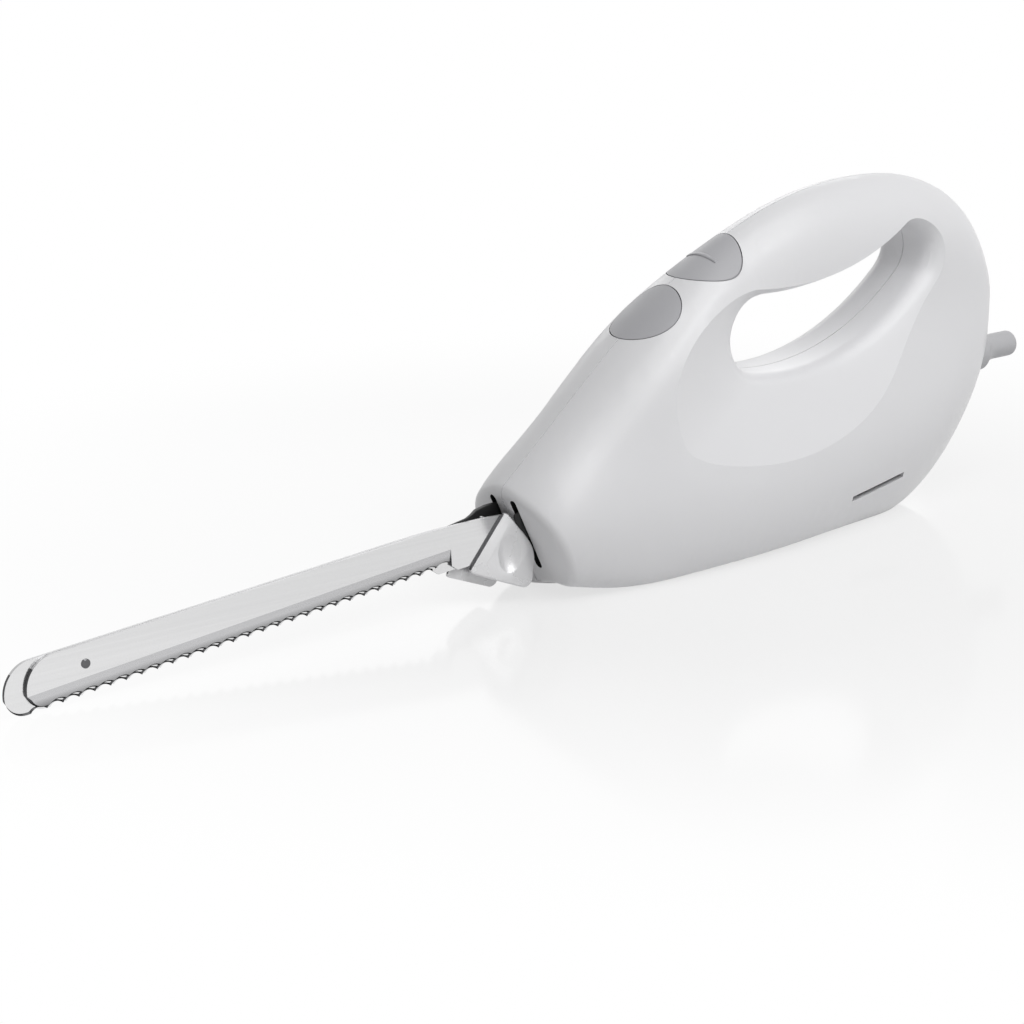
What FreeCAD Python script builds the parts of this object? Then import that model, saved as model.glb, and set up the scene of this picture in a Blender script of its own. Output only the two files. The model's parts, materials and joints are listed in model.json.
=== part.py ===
# Electric carving knife: twin serrated blades, driven to and fro by a motor in a casing with a hand hole.
# Millimetres. +X runs to the cord end, -X to the blade tips, -Y is the left side and +Z is up.
# The origin is the middle of the flat face that the casing stands on.
import FreeCAD
import Part
import math
import os

V = FreeCAD.Vector

# Casing in side view
BODY_DEPTH = 69.0           # standing face to the floor of the hand hole
HOLE_FRONT_RADIUS = 15.5
HOLE_REAR_RADIUS = 12.5
HOLE_START = -4.5           # front end of the hand hole
HOLE_LENGTH = 105.0
HOLE_RISE = 21.0            # rear end of the hole above its front end
HOLE_FLOOR_RADIUS = 105.0
HOLE_ROOF_RADIUS = 140.0
HANDLE_DEPTH = 37.0         # ridge above the front of the hole
HEEL_THICKNESS = 47.9       # hole to the rear of the casing
REAR_Z = 72.0               # height of the rearmost point
HEEL_X = 80.0               # the keel line starts to rise here
KEEL_DIP = 3.0              # the keel line is drawn this far below the standing face and cut flat
RIDGE_BEND = 0.0032         # half the curvature of the ridge line
RIDGE_SLOPE = 0.845         # steepest rise of the ridge line, held straight to the nose
NOSE_X = -109.7             # nose edge on the ridge line
NOSE_LIFT = 8.0             # rise of the keel line to the nose
NOSE_LIFT_LENGTH = 50.0
NOSE_LEAN = 26.0            # degrees that the nose face leans forward at its top
RIDGE_POWER = 2.3           # roundness of the ridge line over the heel
KEEL_POWER = 1.85           # roundness of the keel line under the heel

# Casing across
BELLY_HALF_WIDTH = 34.0
BELLY_X = -25.0
NOSE_HALF_WIDTH = 23.0
GRIP_HALF_WIDTH = 18.5
GRIP_BLEND = 62.0           # length over which the shoulders narrow to the grip
GRIP_LAG = 16.0             # the narrowing ends this far past the front of the hole
BELLY_POWER = 2.0
GRIP_POWER = 2.6
RIM_HALF_WIDTH = 14.5       # the hollow round the hole meets the hole's wall here
RIM_RADIUS = 9.0            # rounding of the hand hole's rim
DISH_GROW = 33.0            # the hollow's mouth outside the hole
DISH_DEPTH = 24.0           # the hollow's depth, from rim to mouth
DISH_FRONT = 64.0           # the mouth's extra reach to the front
DISH_REAR = 42.0            # and to the rear
DISH_FLOOR_RADIUS = 300.0
NOSE_ROUND = 4.5            # rounding of the edge round the nose face
WALL = 2.4
SEAM_WIDTH = 0.4
SEAM_DEPTH = 0.4

# Casing inside
BOSS_RADIUS = 5.0
SCREW_RADIUS = 1.5
SCREW_HEAD_RADIUS = 2.8
SCREW_HEAD = 2.4
SCREW_DEPTH = 12.0          # the screws reach this far either side of the seam
BOSSES = [(-66.0, 8.5), (-76.0, 49.0), (70.0, 10.0), (118.0, 32.0), (120.0, 108.0), (30.0, 116.0)]
RIB = 3.0
FRAME_RIBS = (0.2, 0.75)    # ribs under the gear frame, as shares of its length
STATOR_RIBS = (0.2, 0.8)    # and round the stator
SHELF = 1.6
VENT_X = 62.5               # middle of the vent slot in each side
VENT_Z = 17.8
VENT_LENGTH = 33.0
VENT_HEIGHT = 2.2
VENT_TIP = 6.0
VENT_INSIDE = 12.0          # the slot is cut from here outwards
SLOT_HALF_WIDTH = 1.6       # blade slots in the nose
SLOT_LOW = -17.0
SLOT_HIGH = 12.0
SLOT_RUN = 12.0

# Drive line: the blades' own frame, tipped down to the front, with its zero at the gear's middle
RAKE = 4.3
GEAR_X = -40.0
LINE_Z = 31.3
LANE = 5.8                  # blade tangs and carriers stand this far either side of the middle
HALF_STROKE = 4.0
RUN = 0.3                   # running gap between sliding parts
SEAT = 0.05                 # gap of a shaft, screw or seated piece in its hole

# Blades
BLADE_THICKNESS = 1.2
BLADE_GAP = 0.05            # middle plane to a blade's inner face
SPINE_Z = 8.2
SPINE_DROP = 2.2            # the spine comes down this much to the grip
SPINE_DROP_LENGTH = 37.0
HEEL_FOOT = 30.0            # from the grip's rear to the step behind the teeth
HEEL_FOOT_Z = -9.3
HEEL_STEP = 2.7             # from that step to the last tooth
TOOTH_COUNT = 27
TOOTH_PITCH = 6.4
TOOTH_DEPTH = 1.4
EDGE_HEEL_Z = -7.2          # tooth line at the heel
EDGE_TIP_Z = -10.3          # tooth line at the tip
TIP_LENGTH = 9.0            # first tooth to the foremost point
TIP_LEVEL = -2.9            # height of the foremost point
BEVEL_HEIGHT = 6.5
EDGE_THICKNESS = 0.35
TANG_HALF_HEIGHT = 4.0
TANG_Z = -2.0               # middle of the tang's height
TANG_LENGTH = 44.0          # from the end of its swing to its end
JOG_START = 8.0             # from the grip's rear to the swing out to the lane
JOG_LENGTH = 6.0
RIVET_BACK = 23.7           # foremost point to the rivet
RIVET_Z = 1.2
RIVET_RADIUS = 1.0
RIVET_HEAD_RADIUS = 1.7
RIVET_HEAD = 0.7
RIVET_ROUND = 0.5
GRIP_BACK = 2.2             # the grip's rear stands this far ahead of the nose, at mid stroke
GRIP_OUTER = 9.5            # crest of the grip's outer face, from the middle plane
GRIP_CORNERS = [(-6.8, 7.8, 1.5), (-26.0, -11.6, 1.5), (-2.6, -22.6, 3.5), (0.6, -8.5, 14.0)]
GRIP_CURVE = 31.0           # radius of the outer face, which runs down to a thin front edge
GRIP_CREST = 20.0           # front edge to the crest
GRIP_ROUND = 0.7
HOLLOW = (-10.1, -7.2)      # the thumb hollow's middle, from the grip's rear
HOLLOW_LONG = 23.6          # the hollow's radius up and down
HOLLOW_SHORT = 9.6          # and across
HOLLOW_DEPTH = 1.4

# Carriers, catches and guide
CARRIER_HALF_WIDTH = 2.0
BAR_HALF_HEIGHT = 7.5
BAR_FRONT = -50.0
BAR_REAR = -13.5
YOKE_WALL = 5.5
YOKE_FOOT_Z = 3.2
YOKE_ROOF = 4.6
CATCH_FRONT = -36.0
CATCH_REAR = -16.0
CATCH_THICKNESS = 0.8
CATCH_HALF_WIDTH = 1.0
NUB_LENGTH = 2.5
GUIDE_FRONT = -46.0
GUIDE_LENGTH = 12.0
GUIDE_HALF_WIDTH = 12.0
GUIDE_WALL = 2.7
FLANGE = 3.0

# Gear train
MODULE = 0.8
GEAR_TEETH = 30
GEAR_HALF_WIDTH = 3.3
GEAR_Z = 14.0
TOOTH_SHARE = 0.27          # tooth thickness at the pitch line, of the tooth spacing
TOOTH_FLARE = 0.6           # a tooth's foot is this share wider than it is there
TOOTH_CREST = 0.4           # and its crest this share narrower
CAM_RADIUS = 8.5
CAM_SINK = 0.1              # a cam starts this deep in the wheel, clear of the worm
CAM_PLAY = 0.95             # the yoke's room beside the cam
AXLE_RADIUS = 2.0
WORM_CORE_RADIUS = 3.0
WORM_RADIUS = 4.5
WORM_TURNS = 7
WORM_FOOT_HALF = 0.75       # half the thread's width at its foot
WORM_CREST_HALF = 0.2
THREAD_SINK = 0.3           # the thread starts this deep in the core
CHEEK = 3.0
CHEEK_GAP = 0.8             # carriers to the gear frame's cheeks
FRAME_FRONT = -16.0
FRAME_REAR = 24.0
FRAME_TOP = 20.0
FRAME_FLOOR = -16.0
FRAME_WALL = 3.0
REAR_WALL_HALF_WIDTH = 23.0
REAR_WALL_LOW = -21.0
REAR_WALL_HIGH = 17.0

# Motor, on the worm's axis
SHAFT_RADIUS = 2.5
JOURNAL_RADIUS = 1.5
SHAFT_FRONT = -17.0
SHAFT_REAR = 93.0
BUSH_RADIUS = 2.6
BEARING_RADIUS = 5.0
BEARING_RIM = 0.8
FAN_FRONT = 26.0
FAN_DEPTH = 8.5
FAN_RADIUS = 17.5
FAN_HUB_RADIUS = 6.0
FAN_BLADES = 9
FAN_SLANT = 25.0
FAN_PLATE = 1.2
CORE_FRONT = 42.0
CORE_LENGTH = 26.0
CORE_RADIUS = 12.9
SLOTS = 12
SLOT_RADIUS = 2.0
SLOT_RING = 10.0
SLOT_MOUTH = 1.2
WINDING_RADIUS = 12.2
WINDING_INNER = 4.5
WINDING_OVERHANG = 5.2
WINDING_LEAN = 0.35         # share of the overhang that is sloped off
STATOR_HALF_WIDTH = 24.0
STATOR_HALF_HEIGHT = 18.0
STATOR_CORNER = 12.0
STATOR_BORE = 13.5
COIL_WINDOW = 19.8
POLE_HALF_WIDTH = 11.5
COIL_INNER = 14.2
COIL_OUTER = 19.5
COIL_GAP = 0.8              # coil to the motor's level middle plane
COIL_OVERHANG = 6.0
POST = (19.0, 12.5)         # the stator's screws, across and up from the axis
POST_RADIUS = 2.4
POST_SCREW_RADIUS = 1.3
POST_SCREW_HEAD = 2.0
COMMUTATOR_FRONT = 76.0
COMMUTATOR_LENGTH = 10.0
COMMUTATOR_RADIUS = 7.0
RISER_RADIUS = 8.2
RISER = 1.5
COMMUTATOR_SLIT = 0.5
BRACKET_FRONT = 88.0
BRACKET = 3.0
BRACKET_HALF_WIDTH = 22.0
BRACKET_HALF_HEIGHT = 15.5
BRACKET_CORNER = 4.0
BRUSH_WIDTH = 6.0
BRUSH_HEIGHT = 5.0
BRUSH_OUTER = 18.0
HOLDER_INNER = 9.0
HOLDER_OUTER = 22.0
HOLDER_WALL = 1.6
HOLDER_FOOT = (14.0, 20.0)

# Buttons on the ridge
RELEASE_X = -39.5
POWER_X = -10.3
BUTTON_RADIUS = 14.5
BUTTON_GAP = 0.4
BUTTON_TRAVEL = 2.5
LIP = 0.5
LIP_HALF_WIDTH = 7.0        # the lip is a tab at the front and one at the rear
LIP_THICKNESS = 1.5
FINGER_RIB = 0.8            # height of the rib across the power button
FINGER_RIB_HALF_WIDTH = 0.9
FINGER_RIB_REACH = 8.0
STEM_RADIUS = 2.5
STEM_HOLE_GAP = 0.4
SHELF_DROP = 10.0           # ridge to the shelf under a button
SHELF_HALF_WIDTH = 6.5
SHELF_REACH = 19.5
CAP_DEPTH = 14.0            # a button's side stops this far below the ridge
SPRING_RADIUS = 4.2
SPRING_WIRE = 0.4
SPRING_TURNS = 3.5
SPRING_STEPS = 12           # flats to each turn
POWER_SPRING_X = 4.0
POWER_STEM_X = -10.0
SWITCH_HALF_LENGTH = 7.5
SWITCH_HALF_WIDTH = 4.5
SWITCH_DEPTH = 9.0
PLUNGER_RADIUS = 1.6
PLUNGER_DEPTH = 5.0         # the plunger's reach into the switch
FORK_THICKNESS = 3.0
FORK_HALF_WIDTH = 2.5
FORK_REACH = 46.0
FORK_PIN_RADIUS = 1.2
LEG_FRONT = -70.0
LEG_LENGTH = 4.0
LEG_HALF_WIDTH = 1.5
LEG_GAP = 0.5               # pressed leg to the catch

# Cord end
CORD_Z = 56.0
CORD_BORE = 3.0
GUARD_NECK_RADIUS = 6.0
GUARD_BASE_RADIUS = 8.5
GUARD_END_RADIUS = 5.2
GUARD_LENGTH = 17.6         # past the rear of the casing
GUARD_FLARE = 14.0          # radius of the sweep from the base to the sleeve
GUARD_WAIST = 6.0           # the sweep ends this far past the rear of the casing
GUARD_ROUND = 2.0
GUARD_FLANGE = 2.5
GUARD_SEAT = 16.5           # flange to the rear of the casing
CLAMP_X = 117.0
CLAMP_LENGTH = 8.0
CLAMP_HALF_WIDTH = 11.0
CLAMP_BAR = 4.0
CLAMP_PLAY = 1.5            # clamp bar's underside above the cord's middle
CLAMP_SCREW_Y = 7.5
CLAMP_SCREW_RADIUS = 1.3
CLAMP_SCREW_HEAD_RADIUS = 2.5
CLAMP_SHELF_DROP = 6.0
TRAY_X = (62.0, 112.0)      # shelf for the terminal block and the capacitor
TRAY_Z = 24.0
TERMINAL_X = 66.0
TERMINAL_SIZE = (18.0, 18.0, 9.0)
TERMINAL_WAYS = 3
TERMINAL_HOLE = 1.8
CAPACITOR_X = 90.0
CAPACITOR_SIZE = (18.0, 13.0, 11.0)
CAPACITOR_ROUND = 2.0


def place(x, z, tip):
    """A frame at x, z whose own x axis rises by tip degrees towards the rear."""
    return FreeCAD.Placement(V(x, 0, z), FreeCAD.Rotation(V(0, 1, 0), -tip))


DRIVE = place(GEAR_X, LINE_Z, RAKE)


def set_in(shape, frame):
    """A copy of a shape drawn in the given frame, moved to where it belongs on the knife."""
    moved = shape.copy()
    moved.Placement = frame.multiply(moved.Placement)
    return moved


def box(x0, x1, y0, y1, z0, z1):
    return Part.makeBox(x1 - x0, y1 - y0, z1 - z0, V(x0, y0, z0))


def rod_x(x0, x1, radius, y=0.0, z=0.0):
    return Part.makeCylinder(radius, x1 - x0, V(x0, y, z), V(1, 0, 0))


def rod_y(y0, y1, radius, x=0.0, z=0.0):
    return Part.makeCylinder(radius, y1 - y0, V(x, y0, z), V(0, 1, 0))


def rod_z(z0, z1, radius, x=0.0, y=0.0):
    return Part.makeCylinder(radius, z1 - z0, V(x, y, z0), V(0, 0, 1))


def mirror(shape):
    """The same piece for the other side of the knife."""
    return shape.mirror(V(0, 0, 0), V(0, 1, 0))


def join(shapes):
    whole = shapes[0].fuse(shapes[1:]) if len(shapes) > 1 else shapes[0]
    return whole.removeSplitter()


def profile(wire_edges, y0, y1):
    """A flat outline drawn in x and z at y = 0, made solid from y0 to y1."""
    face = Part.Face(Part.Wire(wire_edges))
    face.translate(V(0, y0, 0))
    return face.extrude(V(0, y1 - y0, 0))


def rounded(corners):
    """Edges of a closed outline through (x, z, radius) corners."""
    count = len(corners)
    ends = []
    for i, (x, z, radius) in enumerate(corners):
        here = V(x, 0, z)
        back = V(corners[i - 1][0], 0, corners[i - 1][1]) - here
        ahead = V(corners[(i + 1) % count][0], 0, corners[(i + 1) % count][1]) - here
        back.normalize()
        ahead.normalize()
        half = back.getAngle(ahead) / 2
        reach = radius / math.tan(half)
        bisector = back + ahead
        bisector.normalize()
        middle = here + bisector * (radius / math.sin(half) - radius)
        ends.append((here + back * reach, middle, here + ahead * reach))
    edges = []
    for i, (start, middle, end) in enumerate(ends):
        edges.append(Part.Arc(start, middle, end).toShape())
        edges.append(Part.LineSegment(end, ends[(i + 1) % count][0]).toShape())
    return edges


# Casing form

HOLE_FRONT = (HOLE_START + HOLE_FRONT_RADIUS, BODY_DEPTH + HOLE_FRONT_RADIUS)
HOLE_REAR = (HOLE_START + HOLE_LENGTH - HOLE_REAR_RADIUS, HOLE_FRONT[1] + HOLE_RISE)
CASING_HEIGHT = BODY_DEPTH + 2 * HOLE_FRONT_RADIUS + HANDLE_DEPTH
REAR_X = HOLE_START + HOLE_LENGTH + HEEL_THICKNESS
APEX_SHARE = 0.71            # the ridge is highest this far along the hole
APEX_X = HOLE_START + APEX_SHARE * HOLE_LENGTH
STRAIGHT_X = APEX_X - RIDGE_SLOPE / (2 * RIDGE_BEND)
NOSE_MARGIN = 14.0          # the form is drawn past the nose face, which cuts it off
END_GAP = 0.03              # the last section stops this short of the rearmost point


def ease(t):
    t = min(1.0, max(0.0, t))
    return t * t * (3 - 2 * t)


def round_off(t, power):
    """One at t = 0, falling along a rounded corner to nothing at t = 1."""
    return max(0.0, 1 - max(0.0, t) ** power) ** (1 / power)


def ridge(x):
    """Height of the casing's top line."""
    if x > APEX_X:
        return REAR_Z + (CASING_HEIGHT - REAR_Z) * round_off((x - APEX_X) / (REAR_X - APEX_X), RIDGE_POWER)
    bend = max(x, STRAIGHT_X)
    return CASING_HEIGHT - RIDGE_BEND * (APEX_X - bend) ** 2 - RIDGE_SLOPE * (bend - x)


def ridge_angle(x):
    """Slope of the top line in degrees, ahead of its highest point."""
    return math.degrees(math.atan(2 * RIDGE_BEND * (APEX_X - max(x, STRAIGHT_X))))


def keel(x):
    """Height of the casing's bottom line before it is cut flat."""
    if x < BELLY_X:
        return NOSE_LIFT * (1 - ease((x - NOSE_X) / NOSE_LIFT_LENGTH)) - KEEL_DIP
    return REAR_Z - (REAR_Z + KEEL_DIP) * round_off((x - HEEL_X) / (REAR_X - HEEL_X), KEEL_POWER)


def belly(x):
    """Half-width at the widest height."""
    if x < BELLY_X:
        swell = math.sin(math.pi / 2 * (x - NOSE_X) / (BELLY_X - NOSE_X))
        return NOSE_HALF_WIDTH + (BELLY_HALF_WIDTH - NOSE_HALF_WIDTH) * swell
    return BELLY_HALF_WIDTH * round_off((x - BELLY_X) / (REAR_X - BELLY_X), BELLY_POWER)


SHOULDER_SHARE = 0.82       # shoulder against belly where the casing is a plain egg


def shoulder(x):
    """Half-width beside the hand hole, and of the egg's upper part ahead of it."""
    egg = SHOULDER_SHARE * belly(x)
    middle = HOLE_START + HOLE_LENGTH / 2
    if x < middle:
        return egg + (GRIP_HALF_WIDTH - egg) * ease((x - HOLE_START - GRIP_LAG + GRIP_BLEND) / GRIP_BLEND)
    return GRIP_HALF_WIDTH * round_off((x - middle) / (REAR_X - middle), GRIP_POWER)


# Heights as shares of the section's height, widths as shares of the half-width: at the nose, body and heel
BELLY_LEVEL = (0.45, 0.28, 0.34)
SHOULDER_LEVEL = (0.74, 0.65, 0.65)
CORNER_WIDTH = (0.78, 0.78, 0.42)
CORNER_LEVEL = 0.16
CROWN_WIDTH = 0.72
CROWN_DROP = 9.0
CROWN_SHARE = 0.12


def along(x, shares):
    """A share that changes from the nose to the body, and from the body to the heel."""
    nose, body, heel = shares
    if x < HOLE_START:
        return nose + (body - nose) * ease((x - NOSE_X) / (BELLY_X - NOSE_X))
    return body + (heel - body) * ease((x - HOLE_START) / (REAR_X - HOLE_START))


def section(x, inset):
    """The casing's outline across x, drawn in by inset."""
    low = keel(x)
    high = ridge(x)
    tall = high - low
    widest = low + along(x, BELLY_LEVEL) * tall
    side = [
        (0.0, low),
        (along(x, CORNER_WIDTH) * belly(x), low + CORNER_LEVEL * (widest - low)),
        (belly(x), widest),
        (shoulder(x), low + along(x, SHOULDER_LEVEL) * tall),
        (CROWN_WIDTH * shoulder(x), high - min(CROWN_DROP, CROWN_SHARE * tall)),
        (0.0, high),
    ]
    ring = side + [(-y, z) for y, z in reversed(side[1:-1])]
    count = len(ring)
    depth = x - inset * max(0.0, (x - APEX_X) / (REAR_X - APEX_X)) ** 2
    points = []
    for i, (y, z) in enumerate(ring):
        run = V(0, *ring[(i + 1) % count]) - V(0, *ring[i - 1])
        run.normalize()
        points.append(V(depth, y - run.z * inset, z + run.y * inset))
    curve = Part.BSplineCurve()
    curve.interpolate(points, PeriodicFlag=True)
    return Part.Wire([curve.toShape()])


FRONT_STATIONS = 9
HEEL_STATIONS = 7


def skin(inset):
    """The casing's form before the hole, the nose face and the standing face are cut."""
    start = NOSE_X - NOSE_MARGIN
    last = REAR_X - END_GAP - max(0.0, inset)
    stations = [start + (APEX_X - start) * i / FRONT_STATIONS for i in range(FRONT_STATIONS + 1)]
    for i in range(1, HEEL_STATIONS + 1):
        stations.append(APEX_X + (last - APEX_X) * math.sin(math.pi / 2 * i / HEEL_STATIONS))
    return Part.makeLoft([section(x, inset) for x in stations], True)


def meet(centre_a, radius_a, centre_b, radius_b):
    """The upper point where two circles in x and z cross."""
    gap = math.dist(centre_a, centre_b)
    reach = (radius_a ** 2 - radius_b ** 2 + gap ** 2) / (2 * gap)
    rise = math.sqrt(radius_a ** 2 - reach ** 2)
    ux = (centre_b[0] - centre_a[0]) / gap
    uz = (centre_b[1] - centre_a[1]) / gap
    return (centre_a[0] + reach * ux - rise * uz, centre_a[1] + reach * uz + rise * ux)


def toward(centre, target, radius):
    """The point of a circle that faces the target."""
    ray = V(target[0] - centre[0], 0, target[1] - centre[1])
    ray.normalize()
    return V(centre[0], 0, centre[1]) + ray * radius


def arc_about(centre, start, end):
    """The shorter arc about a centre from start to end."""
    hub = V(centre[0], 0, centre[1])
    middle = (start - hub) + (end - hub)
    middle.normalize()
    return Part.Arc(start, hub + middle * (start - hub).Length, end).toShape()


def bean(front, front_radius, rear, rear_radius, floor_radius, roof_radius):
    """A closed outline of two round ends joined by a curved floor and a curved roof, all tangent."""
    floor_hub = meet(front, floor_radius - front_radius, rear, floor_radius - rear_radius)
    roof_hub = meet(front, roof_radius + front_radius, rear, roof_radius + rear_radius)
    front_floor = toward(front, floor_hub, -front_radius)
    rear_floor = toward(rear, floor_hub, -rear_radius)
    front_roof = toward(front, roof_hub, front_radius)
    rear_roof = toward(rear, roof_hub, rear_radius)
    front_end = toward(front, rear, -front_radius)
    rear_end = toward(rear, front, -rear_radius)
    return Part.Wire([
        arc_about(floor_hub, front_floor, rear_floor),
        Part.Arc(rear_floor, rear_end, rear_roof).toShape(),
        arc_about(roof_hub, rear_roof, front_roof),
        Part.Arc(front_roof, front_end, front_floor).toShape(),
    ])


def hole_wire(grow):
    """The hand hole's outline at the middle plane."""
    return bean(HOLE_FRONT, HOLE_FRONT_RADIUS + grow, HOLE_REAR, HOLE_REAR_RADIUS + grow,
                HOLE_FLOOR_RADIUS + grow, HOLE_ROOF_RADIUS - grow)


def dish(side, inset):
    """Cutter for the scooped hollow round the hole on one side: a funnel that opens outwards."""
    mouth = bean((HOLE_FRONT[0] - DISH_FRONT, HOLE_FRONT[1]), HOLE_FRONT_RADIUS + DISH_GROW + inset,
                 (HOLE_REAR[0] + DISH_REAR, HOLE_REAR[1]), HOLE_REAR_RADIUS + DISH_GROW + inset,
                 DISH_FLOOR_RADIUS + inset, HOLE_ROOF_RADIUS - DISH_GROW - inset)
    throat = hole_wire(inset)
    mouth.translate(V(0, side * (RIM_HALF_WIDTH + DISH_DEPTH - inset), 0))
    throat.translate(V(0, side * (RIM_HALF_WIDTH - inset), 0))
    return Part.makeLoft([throat, mouth], True)


FAR = 200.0                 # a cutter's reach, past every side of the casing
NOSE_TOP = ridge(NOSE_X)
NOSE_FRAME = place(NOSE_X, NOSE_TOP, 0).multiply(
    FreeCAD.Placement(V(0, 0, 0), FreeCAD.Rotation(V(0, 1, 0), -NOSE_LEAN)))
NOSE_NORMAL = NOSE_FRAME.Rotation.multVec(V(1, 0, 0))


def rim_edges(form, grow):
    """Edges where the hand hole's wall meets the sides."""
    outline = hole_wire(grow)
    found = []
    for edge in form.Edges:
        point = edge.valueAt((edge.FirstParameter + edge.LastParameter) / 2)
        flat = Part.Vertex(V(point.x, 0, point.z))
        if abs(point.y) > 1 and outline.distToShape(flat)[0] < 0.01:
            found.append(edge)
    return found


def nose_edges(form, inset):
    """Edges round the nose face."""
    found = []
    for edge in form.Edges:
        point = edge.valueAt((edge.FirstParameter + edge.LastParameter) / 2)
        if abs(NOSE_NORMAL.dot(point - NOSE_FRAME.Base) - inset) < 0.01:
            found.append(edge)
    return found


def body_form(inset):
    """The closed casing drawn in by inset, with its hole, nose face and standing face."""
    form = skin(inset)
    form = form.cut(set_in(box(-FAR, inset, -FAR, FAR, -FAR, FAR), NOSE_FRAME))
    form = form.makeFillet(NOSE_ROUND - inset, nose_edges(form, inset))
    form = form.cut(box(-FAR, FAR, -FAR, FAR, -FAR, inset))
    hole = Part.Face(hole_wire(inset))
    hole.translate(V(0, -FAR, 0))
    form = form.cut([dish(-1, inset), dish(1, inset), hole.extrude(V(0, 2 * FAR, 0))])
    return form.makeFillet(RIM_RADIUS - inset, rim_edges(form, inset))


DRIVE_AXIS = DRIVE.Rotation.multVec(V(1, 0, 0))
NOSE_LINE_X = NOSE_NORMAL.dot(NOSE_FRAME.Base - DRIVE.Base) / NOSE_NORMAL.dot(DRIVE_AXIS)
AXIS_Z = GEAR_Z - MODULE * GEAR_TEETH / 2 - (WORM_RADIUS - MODULE / 2 - THREAD_SINK / 3)


def crosswise(shape):
    """A piece drawn along y, turned to lie along x."""
    return shape.rotated(V(0, 0, 0), V(0, 0, 1), 90)


def pad(half_width, half_height, corner, x0, x1, z=0.0):
    """A plate square to x with rounded corners, its middle at height z."""
    outline = rounded([(-half_width, half_height, corner), (half_width, half_height, corner),
                       (half_width, -half_height, corner), (-half_width, -half_height, corner)])
    plate = crosswise(profile(outline, -x1, -x0))
    plate.translate(V(0, 0, z))
    return plate


def spun(points, z=0.0):
    """A solid of revolution about a line along x at height z, from (x, radius) points."""
    corners = [V(x, 0, z + radius) for x, radius in points]
    face = Part.Face(Part.makePolygon(corners + corners[:1]))
    return face.revolve(V(0, 0, z), V(1, 0, 0), 360)


def around(shape, count, z=0.0):
    """Copies of a shape set evenly about a line along x at height z."""
    return [shape.rotated(V(0, 0, z), V(1, 0, 0), 360.0 * i / count) for i in range(count)]


def at_lane(shape, side):
    """A piece drawn about y = 0, set in the left (-1) or right (1) lane."""
    moved = shape.copy()
    moved.translate(V(0, side * LANE, 0))
    return moved


def at_stroke(shape, side):
    """A piece drawn at mid stroke, set where its blade rests: left back, right forward."""
    moved = shape.copy()
    moved.translate(V(-side * HALF_STROKE, 0, 0))
    return moved


# Blades and grips, drawn at mid stroke

GRIP_X = NOSE_LINE_X - GRIP_BACK
HEEL_FOOT_X = GRIP_X - HEEL_FOOT
LAST_TOOTH_X = HEEL_FOOT_X - HEEL_STEP
FIRST_TOOTH_X = LAST_TOOTH_X - TOOTH_COUNT * TOOTH_PITCH
TIP_X = FIRST_TOOTH_X - TIP_LENGTH
JOG_X = GRIP_X - JOG_START
TANG_END_X = JOG_X + JOG_LENGTH + TANG_LENGTH
RIVET_X = TIP_X + RIVET_BACK


def tooth_tip(i):
    share = i / TOOTH_COUNT
    return V(FIRST_TOOTH_X + i * TOOTH_PITCH, 0, EDGE_TIP_Z + (EDGE_HEEL_Z - EDGE_TIP_Z) * share)


def blade_outline():
    """Side view of the sheet: straight spine, round tip, scalloped edge and the step at the heel."""
    upper = SPINE_Z - TIP_LEVEL
    lower = TIP_LEVEL - EDGE_TIP_Z
    spine_front = V(TIP_X + upper, 0, SPINE_Z)
    foremost = V(TIP_X, 0, TIP_LEVEL)
    edge_front = V(TIP_X + lower, 0, EDGE_TIP_Z)
    edges = [
        arc_about((TIP_X + upper, TIP_LEVEL), spine_front, foremost),
        arc_about((TIP_X + lower, TIP_LEVEL), foremost, edge_front),
        Part.LineSegment(edge_front, tooth_tip(0)).toShape(),
    ]
    for i in range(TOOTH_COUNT):
        start = tooth_tip(i)
        end = tooth_tip(i + 1)
        crown = (start + end) * 0.5 + V(0, 0, TOOTH_DEPTH)
        edges.append(Part.Arc(start, crown, end).toShape())
    spine_heel = V(JOG_X, 0, SPINE_Z - SPINE_DROP)
    spine_middle = V(JOG_X - SPINE_DROP_LENGTH / 2, 0, SPINE_Z - SPINE_DROP / 4)
    spine_rear = V(JOG_X - SPINE_DROP_LENGTH, 0, SPINE_Z)
    heel = [tooth_tip(TOOTH_COUNT), V(HEEL_FOOT_X, 0, HEEL_FOOT_Z), V(JOG_X, 0, HEEL_FOOT_Z), spine_heel]
    edges += [Part.LineSegment(a, b).toShape() for a, b in zip(heel, heel[1:])]
    edges.append(Part.Arc(spine_heel, spine_middle, spine_rear).toShape())
    edges.append(Part.LineSegment(spine_rear, spine_front).toShape())
    return edges


def tang():
    """The strip that swings out from the sheet to the lane and runs back into the carrier."""
    inner = BLADE_GAP
    outer = BLADE_GAP + BLADE_THICKNESS
    lane = LANE - BLADE_THICKNESS / 2
    start = JOG_X - JOG_LENGTH / 2
    swing = JOG_X + JOG_LENGTH
    far = lane + BLADE_THICKNESS
    plan = [(start, inner), (JOG_X, inner), (swing, lane), (TANG_END_X, lane),
            (TANG_END_X, far), (swing, far), (JOG_X, outer), (start, outer)]
    corners = [V(x, y, TANG_Z - TANG_HALF_HEIGHT) for x, y in plan]
    return Part.Face(Part.makePolygon(corners + corners[:1])).extrude(V(0, 0, 2 * TANG_HALF_HEIGHT))


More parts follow.
